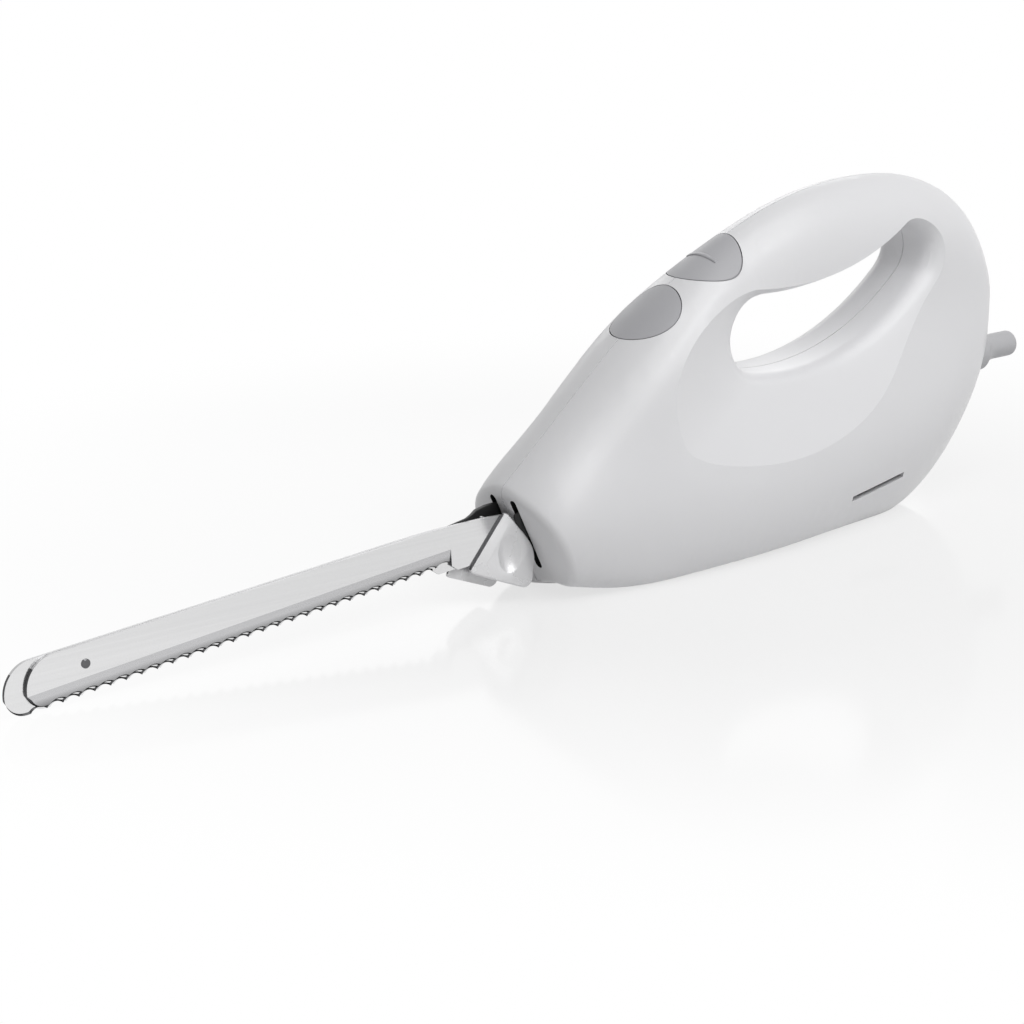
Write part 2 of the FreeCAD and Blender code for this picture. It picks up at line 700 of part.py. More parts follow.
def bevel():
    """Cutter that thins the outer face towards the teeth."""
    face_y = BLADE_GAP + BLADE_THICKNESS
    edge_y = BLADE_GAP + EDGE_THICKNESS
    first = tooth_tip(0)
    last = tooth_tip(TOOTH_COUNT)
    run = (last - first) * (1.0 + TIP_LENGTH / (last - first).Length)
    start = last - run
    past = face_y + 1
    corners = [start + V(0, edge_y, 0), start + V(0, face_y, BEVEL_HEIGHT), start + V(0, past, BEVEL_HEIGHT),
               start + V(0, past, -BEVEL_HEIGHT), start + V(0, edge_y, -BEVEL_HEIGHT)]
    return Part.Face(Part.makePolygon(corners + corners[:1])).extrude(run)


def right_blade_sheet():
    sheet = profile(blade_outline(), BLADE_GAP, BLADE_GAP + BLADE_THICKNESS)
    return sheet.cut(bevel()).fuse(tang()).removeSplitter()


def rivet_slot():
    """Room for the rivet over the whole stroke."""
    reach = 2 * HALF_STROKE
    radius = RIVET_RADIUS + RUN
    slot = box(RIVET_X - reach, RIVET_X + reach, -FAR, FAR, RIVET_Z - radius, RIVET_Z + radius)
    ends = [rod_y(-FAR, FAR, radius, RIVET_X + x, RIVET_Z) for x in (-reach, reach)]
    return slot.fuse(ends)


def rivet_head(y, side):
    """A round-edged head, standing out to one side from y."""
    head = rod_y(0, RIVET_HEAD, RIVET_HEAD_RADIUS)
    rim = [e for e in head.Edges if min(v.Point.y for v in e.Vertexes) > RIVET_HEAD / 2]
    head = head.makeFillet(RIVET_ROUND, rim)
    head = head if side > 0 else mirror(head)
    head.translate(V(RIVET_X, y, RIVET_Z))
    return head


def blade_rivet():
    """Rivet fixed in the left blade, its far head just clear of the right one."""
    near = -BLADE_GAP - BLADE_THICKNESS
    far = RUN / 2 - near
    shank = rod_y(near, far, RIVET_RADIUS, RIVET_X, RIVET_Z)
    return join([shank, rivet_head(near, -1), rivet_head(far, 1)])


GRIP_TOP = V(GRIP_X + GRIP_CORNERS[0][0], 0, GRIP_CORNERS[0][1])
GRIP_FRONT = V(GRIP_X + GRIP_CORNERS[1][0], 0, GRIP_CORNERS[1][1])
GRIP_EDGE = (GRIP_TOP - GRIP_FRONT) * (1 / (GRIP_TOP - GRIP_FRONT).Length)
GRIP_INWARD = V(GRIP_EDGE.z, 0, -GRIP_EDGE.x)
GRIP_HUB = GRIP_FRONT + GRIP_INWARD * GRIP_CREST + V(0, GRIP_OUTER - GRIP_CURVE, 0)


def off_hub(point):
    """Distance from the middle line of the grip's rounded face."""
    arm = point - GRIP_HUB
    return (arm - GRIP_EDGE * arm.dot(GRIP_EDGE)).Length


def thumb_hollow():
    """Cutter for an oval hollow in the grip's face."""
    arm = V(GRIP_X + HOLLOW[0], 0, HOLLOW[1]) - GRIP_HUB
    lean = arm.dot(GRIP_INWARD) / GRIP_CURVE
    normal = GRIP_INWARD * lean + V(0, math.sqrt(1 - lean ** 2), 0)
    middle = GRIP_HUB + GRIP_EDGE * arm.dot(GRIP_EDGE) + normal * (GRIP_CURVE + HOLLOW_LONG - HOLLOW_DEPTH)
    return Part.makeTorus(HOLLOW_LONG - HOLLOW_SHORT, HOLLOW_SHORT, middle, normal.cross(V(0, 0, 1)))


def right_blade_grip():
    """The plastic grip on a blade's outer face, with a thumb hollow and the tang's channel."""
    outline = rounded([(GRIP_X + x, z, radius) for x, z, radius in GRIP_CORNERS])
    crown = Part.makeCylinder(GRIP_CURVE, 2 * FAR, GRIP_HUB - GRIP_EDGE * FAR, GRIP_EDGE)
    grip = profile(outline, BLADE_GAP + BLADE_THICKNESS, GRIP_OUTER).common(crown)
    rim = []
    for edge in grip.Edges:
        if abs(off_hub(edge.valueAt((edge.FirstParameter + edge.LastParameter) / 2)) - GRIP_CURVE) < 0.01:
            rim.append(edge)
    return grip.makeFillet(GRIP_ROUND, rim).cut([thumb_hollow(), tang()])


# Carriers, catches and their guide

SOCKET_HALF_WIDTH = BLADE_THICKNESS / 2 + RUN
SOCKET_LOW = TANG_Z - TANG_HALF_HEIGHT - RUN
SOCKET_TOP = TANG_Z + TANG_HALF_HEIGHT + RUN
YOKE_REACH = CAM_RADIUS + CAM_PLAY
YOKE_WINDOW_TOP = GEAR_Z + CAM_RADIUS + HALF_STROKE + RUN
NUB_X = CATCH_FRONT + NUB_LENGTH


def carrier():
    """Sliding bar with a socket for the tang, and a yoke round the cam."""
    half = CARRIER_HALF_WIDTH
    bar = box(BAR_FRONT, BAR_REAR, -half, half, -BAR_HALF_HEIGHT, BAR_HALF_HEIGHT)
    reach = YOKE_REACH + YOKE_WALL
    yoke = box(-reach, reach, -half, half, YOKE_FOOT_Z, YOKE_WINDOW_TOP + YOKE_ROOF)
    window = box(-YOKE_REACH, YOKE_REACH, -FAR, FAR, -FAR, YOKE_WINDOW_TOP)
    socket = box(-FAR, TANG_END_X + RUN, -SOCKET_HALF_WIDTH, SOCKET_HALF_WIDTH, SOCKET_LOW, SOCKET_TOP)
    nub_hole = box(CATCH_FRONT - SEAT, NUB_X + SEAT, -CATCH_HALF_WIDTH - SEAT, CATCH_HALF_WIDTH + SEAT,
                   0, BAR_HALF_HEIGHT + 1)
    return bar.fuse(yoke.cut(window)).removeSplitter().cut([socket, nub_hole])


def catch():
    """Leaf spring on the carrier, with a nub that bears on the tang."""
    half = CATCH_HALF_WIDTH
    leaf = box(CATCH_FRONT, CATCH_REAR, -half, half, BAR_HALF_HEIGHT, BAR_HALF_HEIGHT + CATCH_THICKNESS)
    nub = box(CATCH_FRONT, NUB_X, -half, half, SOCKET_TOP, BAR_HALF_HEIGHT)
    return leaf.fuse(nub).removeSplitter()


GUIDE_REAR = GUIDE_FRONT + GUIDE_LENGTH
GUIDE_TOP = BAR_HALF_HEIGHT + CATCH_THICKNESS + RUN + GUIDE_WALL
GUIDE_LOW = -BAR_HALF_HEIGHT - RUN - GUIDE_WALL


def carrier_guide():
    """Block behind the nose with a channel for each carrier."""
    block = box(GUIDE_FRONT, GUIDE_REAR, -GUIDE_HALF_WIDTH, GUIDE_HALF_WIDTH, GUIDE_LOW, GUIDE_TOP)
    flange = box(GUIDE_REAR - FLANGE, GUIDE_REAR, -GUIDE_HALF_WIDTH - FLANGE, GUIDE_HALF_WIDTH + FLANGE,
                 GUIDE_LOW - FLANGE, GUIDE_TOP + FLANGE)
    half = CARRIER_HALF_WIDTH + RUN
    channel = box(-FAR, FAR, -half, half, GUIDE_LOW + GUIDE_WALL, GUIDE_TOP - GUIDE_WALL)
    return block.fuse(flange).removeSplitter().cut([at_lane(channel, side) for side in (-1, 1)])


# Gear train

PITCH_RADIUS = MODULE * GEAR_TEETH / 2
GEAR_RADIUS = PITCH_RADIUS + MODULE
ROOT_RADIUS = PITCH_RADIUS - 1.25 * MODULE
CHEEK_INNER = LANE + CARRIER_HALF_WIDTH + CHEEK_GAP
CHEEK_OUTER = CHEEK_INNER + CHEEK
CAM_INNER = LANE - CARRIER_HALF_WIDTH - RUN / 2
CAM_OUTER = LANE + CARRIER_HALF_WIDTH + RUN / 2


def gear_outline():
    """Toothed rim about the gear's middle, with a gap facing down to the worm."""
    step = 2 * math.pi / GEAR_TEETH
    half = math.pi * MODULE * TOOTH_SHARE / 2
    foot = (1 + TOOTH_FLARE) * half
    crest = (1 - TOOTH_CREST) * half
    corners = []
    for i in range(GEAR_TEETH):
        middle = -math.pi / 2 + (i + 0.5) * step
        for radius, reach in ((ROOT_RADIUS, -foot), (GEAR_RADIUS, -crest),
                              (GEAR_RADIUS, crest), (ROOT_RADIUS, foot)):
            angle = middle + reach / radius
            corners.append(V(radius * math.cos(angle), 0, GEAR_Z + radius * math.sin(angle)))
    return Part.makePolygon(corners + corners[:1]).Edges


def drive_gear():
    """Worm wheel with a cam moulded on each side, set half a turn apart."""
    wheel = profile(gear_outline(), -GEAR_HALF_WIDTH, GEAR_HALF_WIDTH)
    pieces = [wheel]
    for side in (-1, 1):
        cam_x = -side * HALF_STROKE
        ends = sorted((side * (GEAR_HALF_WIDTH - CAM_SINK), side * CAM_OUTER))
        pieces.append(rod_y(ends[0], ends[1], CAM_RADIUS, cam_x, GEAR_Z))
        ends = sorted((side * GEAR_HALF_WIDTH, side * (CHEEK_INNER - RUN)))
        pieces.append(rod_y(ends[0], ends[1], 2 * AXLE_RADIUS, 0, GEAR_Z))
    return join(pieces).cut(rod_y(-FAR, FAR, AXLE_RADIUS + SEAT, 0, GEAR_Z))


def gear_axle():
    return rod_y(-CHEEK_OUTER, CHEEK_OUTER, AXLE_RADIUS, 0, GEAR_Z)


def gear_frame():
    """Two cheeks on a floor, with a front wall for the worm's bush and a rear wall for the bearing."""
    cheek = box(FRAME_FRONT, FRAME_REAR, CHEEK_INNER, CHEEK_OUTER, FRAME_FLOOR, FRAME_TOP)
    floor = box(FRAME_FRONT, FRAME_REAR, -CHEEK_OUTER, CHEEK_OUTER, FRAME_FLOOR, FRAME_FLOOR + FRAME_WALL)
    post = LANE - CARRIER_HALF_WIDTH - RUN
    front = box(FRAME_FRONT, FRAME_FRONT + FRAME_WALL, -post, post, FRAME_FLOOR, AXIS_Z + post)
    rear = box(FRAME_REAR - FRAME_WALL, FRAME_REAR, -REAR_WALL_HALF_WIDTH, REAR_WALL_HALF_WIDTH,
               REAR_WALL_LOW, REAR_WALL_HIGH)
    frame = join([cheek, mirror(cheek), floor, front, rear])
    return frame.cut([rod_y(-FAR, FAR, AXLE_RADIUS + SEAT, 0, GEAR_Z),
                      rod_x(FRAME_FRONT - 1, FRAME_FRONT + FRAME_WALL + 1, BUSH_RADIUS + SEAT, 0, AXIS_Z),
                      rod_x(FRAME_REAR - FRAME_WALL - 1, FRAME_REAR + 1, BEARING_RADIUS + SEAT, 0, AXIS_Z)])


def ring(x, length, outer, inner):
    """A plain bush or bearing on the motor's axis."""
    return rod_x(x, x + length, outer, 0, AXIS_Z).cut(rod_x(x - 1, x + length + 1, inner, 0, AXIS_Z))


def ball_bearing(x):
    """Bearing with its shields set back between the rings."""
    body = ring(x, FRAME_WALL, BEARING_RADIUS, SHAFT_RADIUS + SEAT)
    face = ring(x - 1, 1 + FRAME_WALL / 8, BEARING_RADIUS - BEARING_RIM, SHAFT_RADIUS + BEARING_RIM)
    return body.cut([face, face.mirror(V(x + FRAME_WALL / 2, 0, 0), V(1, 0, 0))])


def worm_thread():
    """Thread wound on the shaft, in the wheel's tooth gap at the top."""
    pitch = math.pi * MODULE
    length = WORM_TURNS * pitch
    foot = WORM_CORE_RADIUS - THREAD_SINK
    path = Part.makeHelix(pitch, length, foot)
    corners = [V(foot, 0, -WORM_FOOT_HALF), V(WORM_RADIUS, 0, -WORM_CREST_HALF),
               V(WORM_RADIUS, 0, WORM_CREST_HALF), V(foot, 0, WORM_FOOT_HALF)]
    tooth = Part.makePolygon(corners + corners[:1])
    thread = Part.Wire(path.Edges).makePipeShell([tooth], True, True)
    thread.rotate(V(0, 0, 0), V(0, 1, 0), 90)
    thread.translate(V(-length / 2, 0, AXIS_Z))
    return thread


def armature_shaft():
    worm_half = (WORM_TURNS + 1) * math.pi * MODULE / 2
    turned = spun([(SHAFT_FRONT, 0), (SHAFT_FRONT, JOURNAL_RADIUS), (-worm_half, JOURNAL_RADIUS),
                   (-worm_half, WORM_CORE_RADIUS), (worm_half, WORM_CORE_RADIUS), (worm_half, SHAFT_RADIUS),
                   (SHAFT_REAR, SHAFT_RADIUS), (SHAFT_REAR, 0)], AXIS_Z)
    return turned.fuse(worm_thread())


# Motor

CORE_REAR = CORE_FRONT + CORE_LENGTH
BRACKET_REAR = BRACKET_FRONT + BRACKET
COMMUTATOR_REAR = COMMUTATOR_FRONT + COMMUTATOR_LENGTH
SHAFT_HOLE = SHAFT_RADIUS + SEAT


def cooling_fan():
    """Fan with slanted blades on a back plate."""
    rear = FAN_FRONT + FAN_DEPTH
    plate = ring(FAN_FRONT, FAN_PLATE, FAN_RADIUS, SHAFT_HOLE)
    hub = ring(FAN_FRONT, FAN_DEPTH, FAN_HUB_RADIUS, SHAFT_HOLE)
    half = FAN_PLATE / 2
    blade = box(FAN_FRONT + half, rear, -half, half, FAN_HUB_RADIUS - FAN_PLATE, FAN_RADIUS - half)
    blade.rotate(V(0, 0, FAN_HUB_RADIUS), V(1, 0, 0), FAN_SLANT)
    blade.translate(V(0, 0, AXIS_Z))
    return join([plate, hub] + around(blade, FAN_BLADES, AXIS_Z))


def slot_cutter():
    hole = rod_x(CORE_FRONT - 1, CORE_REAR + 1, SLOT_RADIUS, 0, AXIS_Z + SLOT_RING)
    mouth = box(CORE_FRONT - 1, CORE_REAR + 1, -SLOT_MOUTH / 2, SLOT_MOUTH / 2,
                AXIS_Z + SLOT_RING, AXIS_Z + CORE_RADIUS + 1)
    return hole.fuse(mouth)


def armature_core():
    """Slotted lamination stack."""
    stack = ring(CORE_FRONT, CORE_LENGTH, CORE_RADIUS, SHAFT_HOLE)
    return stack.cut(around(slot_cutter(), SLOTS, AXIS_Z))


def armature_windings():
    """Wound bars in the slots, bunched into a rounded ring at each end."""
    start = CORE_FRONT - WINDING_OVERHANG
    end = CORE_REAR + WINDING_OVERHANG
    rings = []
    for near, far in ((CORE_FRONT, start), (CORE_REAR, end)):
        lean = WINDING_LEAN * (far - near)
        rings.append(spun([(near, WINDING_INNER), (near, WINDING_RADIUS), (far - lean, WINDING_RADIUS),
                           (far, WINDING_RADIUS - abs(lean)), (far, WINDING_INNER)], AXIS_Z))
    bar = rod_x(CORE_FRONT - 1, CORE_REAR + 1, SLOT_RADIUS - SEAT, 0, AXIS_Z + SLOT_RING)
    return join(rings + around(bar, SLOTS, AXIS_Z))


def commutator():
    """Copper bars parted by slits, with the risers that take the windings."""
    bars = ring(COMMUTATOR_FRONT, COMMUTATOR_LENGTH, COMMUTATOR_RADIUS, SHAFT_HOLE)
    riser = ring(COMMUTATOR_FRONT, RISER, RISER_RADIUS, SHAFT_HOLE)
    slit = box(COMMUTATOR_FRONT - 1, COMMUTATOR_REAR + 1, -COMMUTATOR_SLIT / 2, COMMUTATOR_SLIT / 2,
               AXIS_Z + COMMUTATOR_RADIUS - RISER, AXIS_Z + RISER_RADIUS + 1)
    return join([bars, riser]).cut(around(slit, SLOTS, AXIS_Z))


def post_places():
    return [(y, AXIS_Z + z) for y in (-POST[0], POST[0]) for z in (-POST[1], POST[1])]


def stator_block(gap):
    half_width = STATOR_HALF_WIDTH + gap
    half_height = STATOR_HALF_HEIGHT + gap
    return pad(half_width, half_height, STATOR_CORNER + gap, CORE_FRONT, CORE_REAR, AXIS_Z)


def stator_core():
    """Lamination stack with two poles and room for the coils beside them."""
    window = rod_x(CORE_FRONT - 1, CORE_REAR + 1, COIL_WINDOW, 0, AXIS_Z)
    pole = box(CORE_FRONT - 2, CORE_REAR + 2, -POLE_HALF_WIDTH, POLE_HALF_WIDTH, AXIS_Z - FAR, AXIS_Z + FAR)
    bore = rod_x(CORE_FRONT - 1, CORE_REAR + 1, STATOR_BORE, 0, AXIS_Z)
    holes = [rod_x(CORE_FRONT - 1, CORE_REAR + 1, POST_SCREW_RADIUS + SEAT, y, z) for y, z in post_places()]
    return stator_block(0).cut([window.cut(pole), bore] + holes)


def field_coils():
    """A saddle-shaped coil round each pole."""
    start = CORE_FRONT - COIL_OVERHANG
    length = CORE_LENGTH + 2 * COIL_OVERHANG
    shell = ring(start, length, COIL_OUTER, COIL_INNER)
    upper = shell.common(box(-FAR, FAR, -FAR, FAR, AXIS_Z + COIL_GAP, FAR))
    half = POLE_HALF_WIDTH + RUN
    pole_room = box(CORE_FRONT - RUN, CORE_REAR + RUN, -half, half, AXIS_Z, FAR)
    upper = upper.cut(pole_room)
    lower = upper.rotated(V(0, 0, AXIS_Z), V(1, 0, 0), 180)
    return Part.makeCompound([upper, lower])


def stator_screws():
    screws = []
    for y, z in post_places():
        shank = rod_x(CORE_FRONT, BRACKET_REAR, POST_SCREW_RADIUS, y, z)
        screws.append(join([shank, rod_x(BRACKET_REAR, BRACKET_REAR + POST_SCREW_HEAD, POST_RADIUS, y, z)]))
    return Part.makeCompound(screws)


def bracket_plate(gap):
    half_width = BRACKET_HALF_WIDTH + gap
    half_height = BRACKET_HALF_HEIGHT + gap
    return pad(half_width, half_height, BRACKET_CORNER, BRACKET_FRONT, BRACKET_REAR, AXIS_Z)


def rear_bracket():
    """Plate on four posts that holds the rear bearing and the brushes."""
    posts = [rod_x(CORE_REAR, BRACKET_FRONT + 1, POST_RADIUS, y, z) for y, z in post_places()]
    holes = [rod_x(CORE_REAR - 1, BRACKET_REAR + 1, POST_SCREW_RADIUS + SEAT, y, z) for y, z in post_places()]
    bore = rod_x(BRACKET_FRONT - 1, BRACKET_REAR + 1, BEARING_RADIUS + SEAT, 0, AXIS_Z)
    return join([bracket_plate(0)] + posts).cut(holes + [bore])


BRUSH_X = (COMMUTATOR_FRONT + RISER + COMMUTATOR_REAR) / 2


def brush_tube(gap, y0, y1):
    half_width = BRUSH_WIDTH / 2 + gap
    half_height = BRUSH_HEIGHT / 2 + gap
    return box(BRUSH_X - half_width, BRUSH_X + half_width, y0, y1, AXIS_Z - half_height, AXIS_Z + half_height)


def brush_holders():
    """A tube for each brush, closed at its outer end, with a foot on the bracket."""
    tube = brush_tube(HOLDER_WALL + SEAT, HOLDER_INNER, HOLDER_OUTER)
    foot = box(BRUSH_X, BRACKET_FRONT, HOLDER_FOOT[0], HOLDER_FOOT[1],
               AXIS_Z - BRUSH_HEIGHT / 2, AXIS_Z + BRUSH_HEIGHT / 2)
    holder = tube.fuse(foot).removeSplitter().cut(brush_tube(SEAT, 0, HOLDER_OUTER - HOLDER_WALL))
    return Part.makeCompound([mirror(holder), holder])


def carbon_brushes():
    brush = brush_tube(0, 0, BRUSH_OUTER)
    sweep = COMMUTATOR_RADIUS + 2 * SEAT
    brush = brush.cut(rod_x(COMMUTATOR_FRONT - 1, COMMUTATOR_REAR + 1, sweep, 0, AXIS_Z))
    brush = brush.common(box(-FAR, FAR, 0, FAR, -FAR, FAR))
    return Part.makeCompound([mirror(brush), brush])


# Buttons

def on_ridge(x):
    """A frame on the ridge line, its z axis square to the casing there."""
    return place(x, ridge(x), ridge_angle(x))


CAP_THICKNESS = WALL + RUN + LIP_THICKNESS
POWER_FRAME = on_ridge(POWER_X)
RELEASE_FRAME = on_ridge(RELEASE_X)
MIDDLE_FRAME = on_ridge((POWER_X + RELEASE_X) / 2)
BUTTON_SPAN = (POWER_FRAME.Base - RELEASE_FRAME.Base).Length
STEM_END = -SHELF_DROP - SHELF - RUN
SWITCH_TOP = -SHELF_DROP - SHELF
POWER_STEM_END = SWITCH_TOP + BUTTON_TRAVEL + RUN


def button_cap(frame):
    """A round of the casing's own surface, with a lip that stays inside."""
    reach = SHELF_DROP
    round_bar = set_in(rod_z(-2 * reach, reach, BUTTON_RADIUS), frame)
    lip_bar = set_in(rod_z(-2 * reach, reach, BUTTON_RADIUS + BUTTON_GAP + LIP), frame)
    cap_room = set_in(box(-FAR, FAR, -FAR, FAR, -CAP_DEPTH, FAR), frame)
    cap = round_bar.common(OUTER_SKIN).cut(CAP_SKIN).common(cap_room)
    lip_room = set_in(box(-FAR, FAR, -LIP_HALF_WIDTH, LIP_HALF_WIDTH, -FAR, FAR), frame)
    lip = lip_bar.common(LIP_SKIN).cut(CAP_SKIN).common(lip_room)
    return cap, lip


def power_button():
    cap, lip = button_cap(POWER_FRAME)
    bar = box(-FINGER_RIB_HALF_WIDTH, FINGER_RIB_HALF_WIDTH, -FINGER_RIB_REACH, FINGER_RIB_REACH,
              -CAP_THICKNESS, SHELF_DROP)
    rib = set_in(bar, POWER_FRAME).common(skin(-FINGER_RIB))
    stem = set_in(rod_z(POWER_STEM_END, -CAP_THICKNESS / 2, STEM_RADIUS, POWER_STEM_X), POWER_FRAME)
    return join([cap, lip, rib, stem])


def switch_plunger():
    low = SWITCH_TOP - PLUNGER_DEPTH + BUTTON_TRAVEL
    return set_in(rod_z(low, POWER_STEM_END, PLUNGER_RADIUS, POWER_STEM_X), POWER_FRAME)


def switch_case(gap):
    return box(POWER_STEM_X - SWITCH_HALF_LENGTH - gap, POWER_STEM_X + SWITCH_HALF_LENGTH + gap,
               -SWITCH_HALF_WIDTH - gap, SWITCH_HALF_WIDTH + gap, SWITCH_TOP - SWITCH_DEPTH, SWITCH_TOP)


def power_switch():
    """Switch under the power button's shelf."""
    well = rod_z(SWITCH_TOP - PLUNGER_DEPTH - RUN, SWITCH_TOP + 1, PLUNGER_RADIUS + RUN, POWER_STEM_X)
    return set_in(switch_case(0).cut(well), POWER_FRAME)


def release_button():
    cap, lip = button_cap(RELEASE_FRAME)
    stem = rod_z(STEM_END, -CAP_THICKNESS / 2, STEM_RADIUS)
    pin = rod_z(STEM_END - FORK_THICKNESS, STEM_END, FORK_PIN_RADIUS)
    return join([cap, lip, set_in(stem.fuse(pin), RELEASE_FRAME)])


def catch_height(x):
    """Height of the catches' tops at x on the knife."""
    top = DRIVE.multVec(V(0, 0, BAR_HALF_HEIGHT + CATCH_THICKNESS))
    return top.z + (x - top.x) * math.tan(math.radians(RAKE))


def release_fork():
    """Arm from the release button to two legs that press the catches."""
    low = STEM_END - FORK_THICKNESS
    arm = box(-FORK_REACH, 2 * STEM_RADIUS, -FORK_HALF_WIDTH, FORK_HALF_WIDTH, low, STEM_END)
    wide = LANE + LEG_HALF_WIDTH
    bridge = box(-FORK_REACH, -FORK_REACH + LEG_LENGTH, -wide, wide, low, STEM_END)
    head = set_in(arm.fuse(bridge).cut(rod_z(low - 1, STEM_END + 1, FORK_PIN_RADIUS + SEAT)), RELEASE_FRAME)
    drop = BUTTON_TRAVEL * math.cos(math.radians(ridge_angle(RELEASE_X)))
    rear = LEG_FRONT + LEG_LENGTH
    foot = catch_height(rear) + LEG_GAP + drop
    top = RELEASE_FRAME.multVec(V(-FORK_REACH + LEG_LENGTH / 2, 0, (low + STEM_END) / 2)).z
    leg = box(LEG_FRONT, rear, -LEG_HALF_WIDTH, LEG_HALF_WIDTH, foot, top)
    return join([head, at_lane(leg, -1), at_lane(leg, 1)])


def button_spring(frame, x):
    """Coil between a button and its shelf."""
    low = -SHELF_DROP + SPRING_WIRE
    high = -CAP_THICKNESS - SPRING_WIRE - RUN
    count = round(SPRING_TURNS * SPRING_STEPS)
    loops = []
    for i in range(count + 1):
        wire = Part.makePolygon([V(SPRING_RADIUS + SPRING_WIRE * math.cos(k * math.pi / 3), 0,
                                   SPRING_WIRE * math.sin(k * math.pi / 3)) for k in range(7)])
        wire.rotate(V(0, 0, 0), V(0, 0, 1), 360.0 * i / SPRING_STEPS)
        wire.translate(V(x, 0, low + (high - low) * i / count))
        loops.append(wire)
    return set_in(Part.makeLoft(loops, True, True), frame)


# Cord end

GUARD_INNER_X = REAR_X - GUARD_SEAT
CLAMP_LOW = CORD_Z + CLAMP_PLAY
CLAMP_SHELF_Z = CORD_Z - CLAMP_SHELF_DROP
TRAY_TOP = TRAY_Z + SHELF


def cord_guard():
    """Flexible guard seated in the rear wall: flange inside, neck, and a flared sleeve outside."""
    start = GUARD_INNER_X - GUARD_FLANGE
    end = REAR_X + GUARD_LENGTH
    waist = V(REAR_X + GUARD_WAIST, 0, GUARD_END_RADIUS)
    fall = GUARD_BASE_RADIUS - GUARD_END_RADIUS
    flare_x = waist.x - math.sqrt(GUARD_FLARE ** 2 - (GUARD_FLARE - fall) ** 2)
    flare = V(flare_x, 0, GUARD_BASE_RADIUS)
    shoulder_end = V(end - GUARD_ROUND, 0, GUARD_END_RADIUS)
    mouth = V(end, 0, GUARD_END_RADIUS - GUARD_ROUND)
    inside = [mouth, V(end, 0, CORD_BORE), V(start, 0, CORD_BORE), V(start, 0, GUARD_BASE_RADIUS), flare]
    edges = [arc_about((waist.x, waist.z + GUARD_FLARE), flare, waist),
             Part.LineSegment(waist, shoulder_end).toShape(),
             arc_about((shoulder_end.x, mouth.z), shoulder_end, mouth)]
    edges += [Part.LineSegment(a, b).toShape() for a, b in zip(inside, inside[1:])]
    blank = Part.Face(Part.Wire(edges)).revolve(V(0, 0, 0), V(1, 0, 0), 360)
    blank.translate(V(0, 0, CORD_Z))
    neck = rod_x(GUARD_INNER_X - 1, end, GUARD_NECK_RADIUS, 0, CORD_Z)
    wall = OUTER_FORM.common(box(GUARD_INNER_X, FAR, -FAR, FAR, -FAR, FAR)).cut(neck)
    return blank.cut(wall)


def cord_clamp():
    rear = CLAMP_X + CLAMP_LENGTH
    bar = box(CLAMP_X, rear, -CLAMP_HALF_WIDTH, CLAMP_HALF_WIDTH, CLAMP_LOW, CLAMP_LOW + CLAMP_BAR)
    groove = rod_x(CLAMP_X - 1, rear + 1, CORD_BORE, 0, CORD_Z)
    return bar.cut([groove] + clamp_holes())


def clamp_holes():
    x = CLAMP_X + CLAMP_LENGTH / 2
    return [rod_z(CLAMP_SHELF_Z, CLAMP_LOW + CLAMP_BAR + 1, CLAMP_SCREW_RADIUS + SEAT, x, y)
            for y in (-CLAMP_SCREW_Y, CLAMP_SCREW_Y)]


def clamp_screws():
    x = CLAMP_X + CLAMP_LENGTH / 2
    top = CLAMP_LOW + CLAMP_BAR
    screws = []
    for y in (-CLAMP_SCREW_Y, CLAMP_SCREW_Y):
        shank = rod_z(CLAMP_SHELF_Z + 1, top, CLAMP_SCREW_RADIUS, x, y)
        screws.append(join([shank, rod_z(top, top + CLAMP_SCREW_RADIUS, CLAMP_SCREW_HEAD_RADIUS, x, y)]))
    return Part.makeCompound(screws)


def terminal_block():
    """Block of screw terminals on the tray."""
    length, width, height = TERMINAL_SIZE
    block = box(TERMINAL_X, TERMINAL_X + length, -width / 2, width / 2, TRAY_TOP, TRAY_TOP + height)
    holes = []
    for i in range(TERMINAL_WAYS):
        y = width * ((i + 0.5) / TERMINAL_WAYS - 0.5)
        holes.append(rod_x(TERMINAL_X - 1, TERMINAL_X + length + 1, TERMINAL_HOLE, y, TRAY_TOP + height / 3))
    return block.cut(holes)


def capacitor():
    length, width, height = CAPACITOR_SIZE
    block = box(CAPACITOR_X, CAPACITOR_X + length, -width / 2, width / 2, TRAY_TOP, TRAY_TOP + height)
    upper = [e for e in block.Edges if max(v.Point.z for v in e.Vertexes) > TRAY_TOP + height - 0.01]
    return block.makeFillet(CAPACITOR_ROUND, upper)


# Casing halves

def slab(x0, x1, low, high):
    """A rib across the whole casing, in the drive line's frame."""
    return box(x0, x1, -FAR, FAR, low, high)


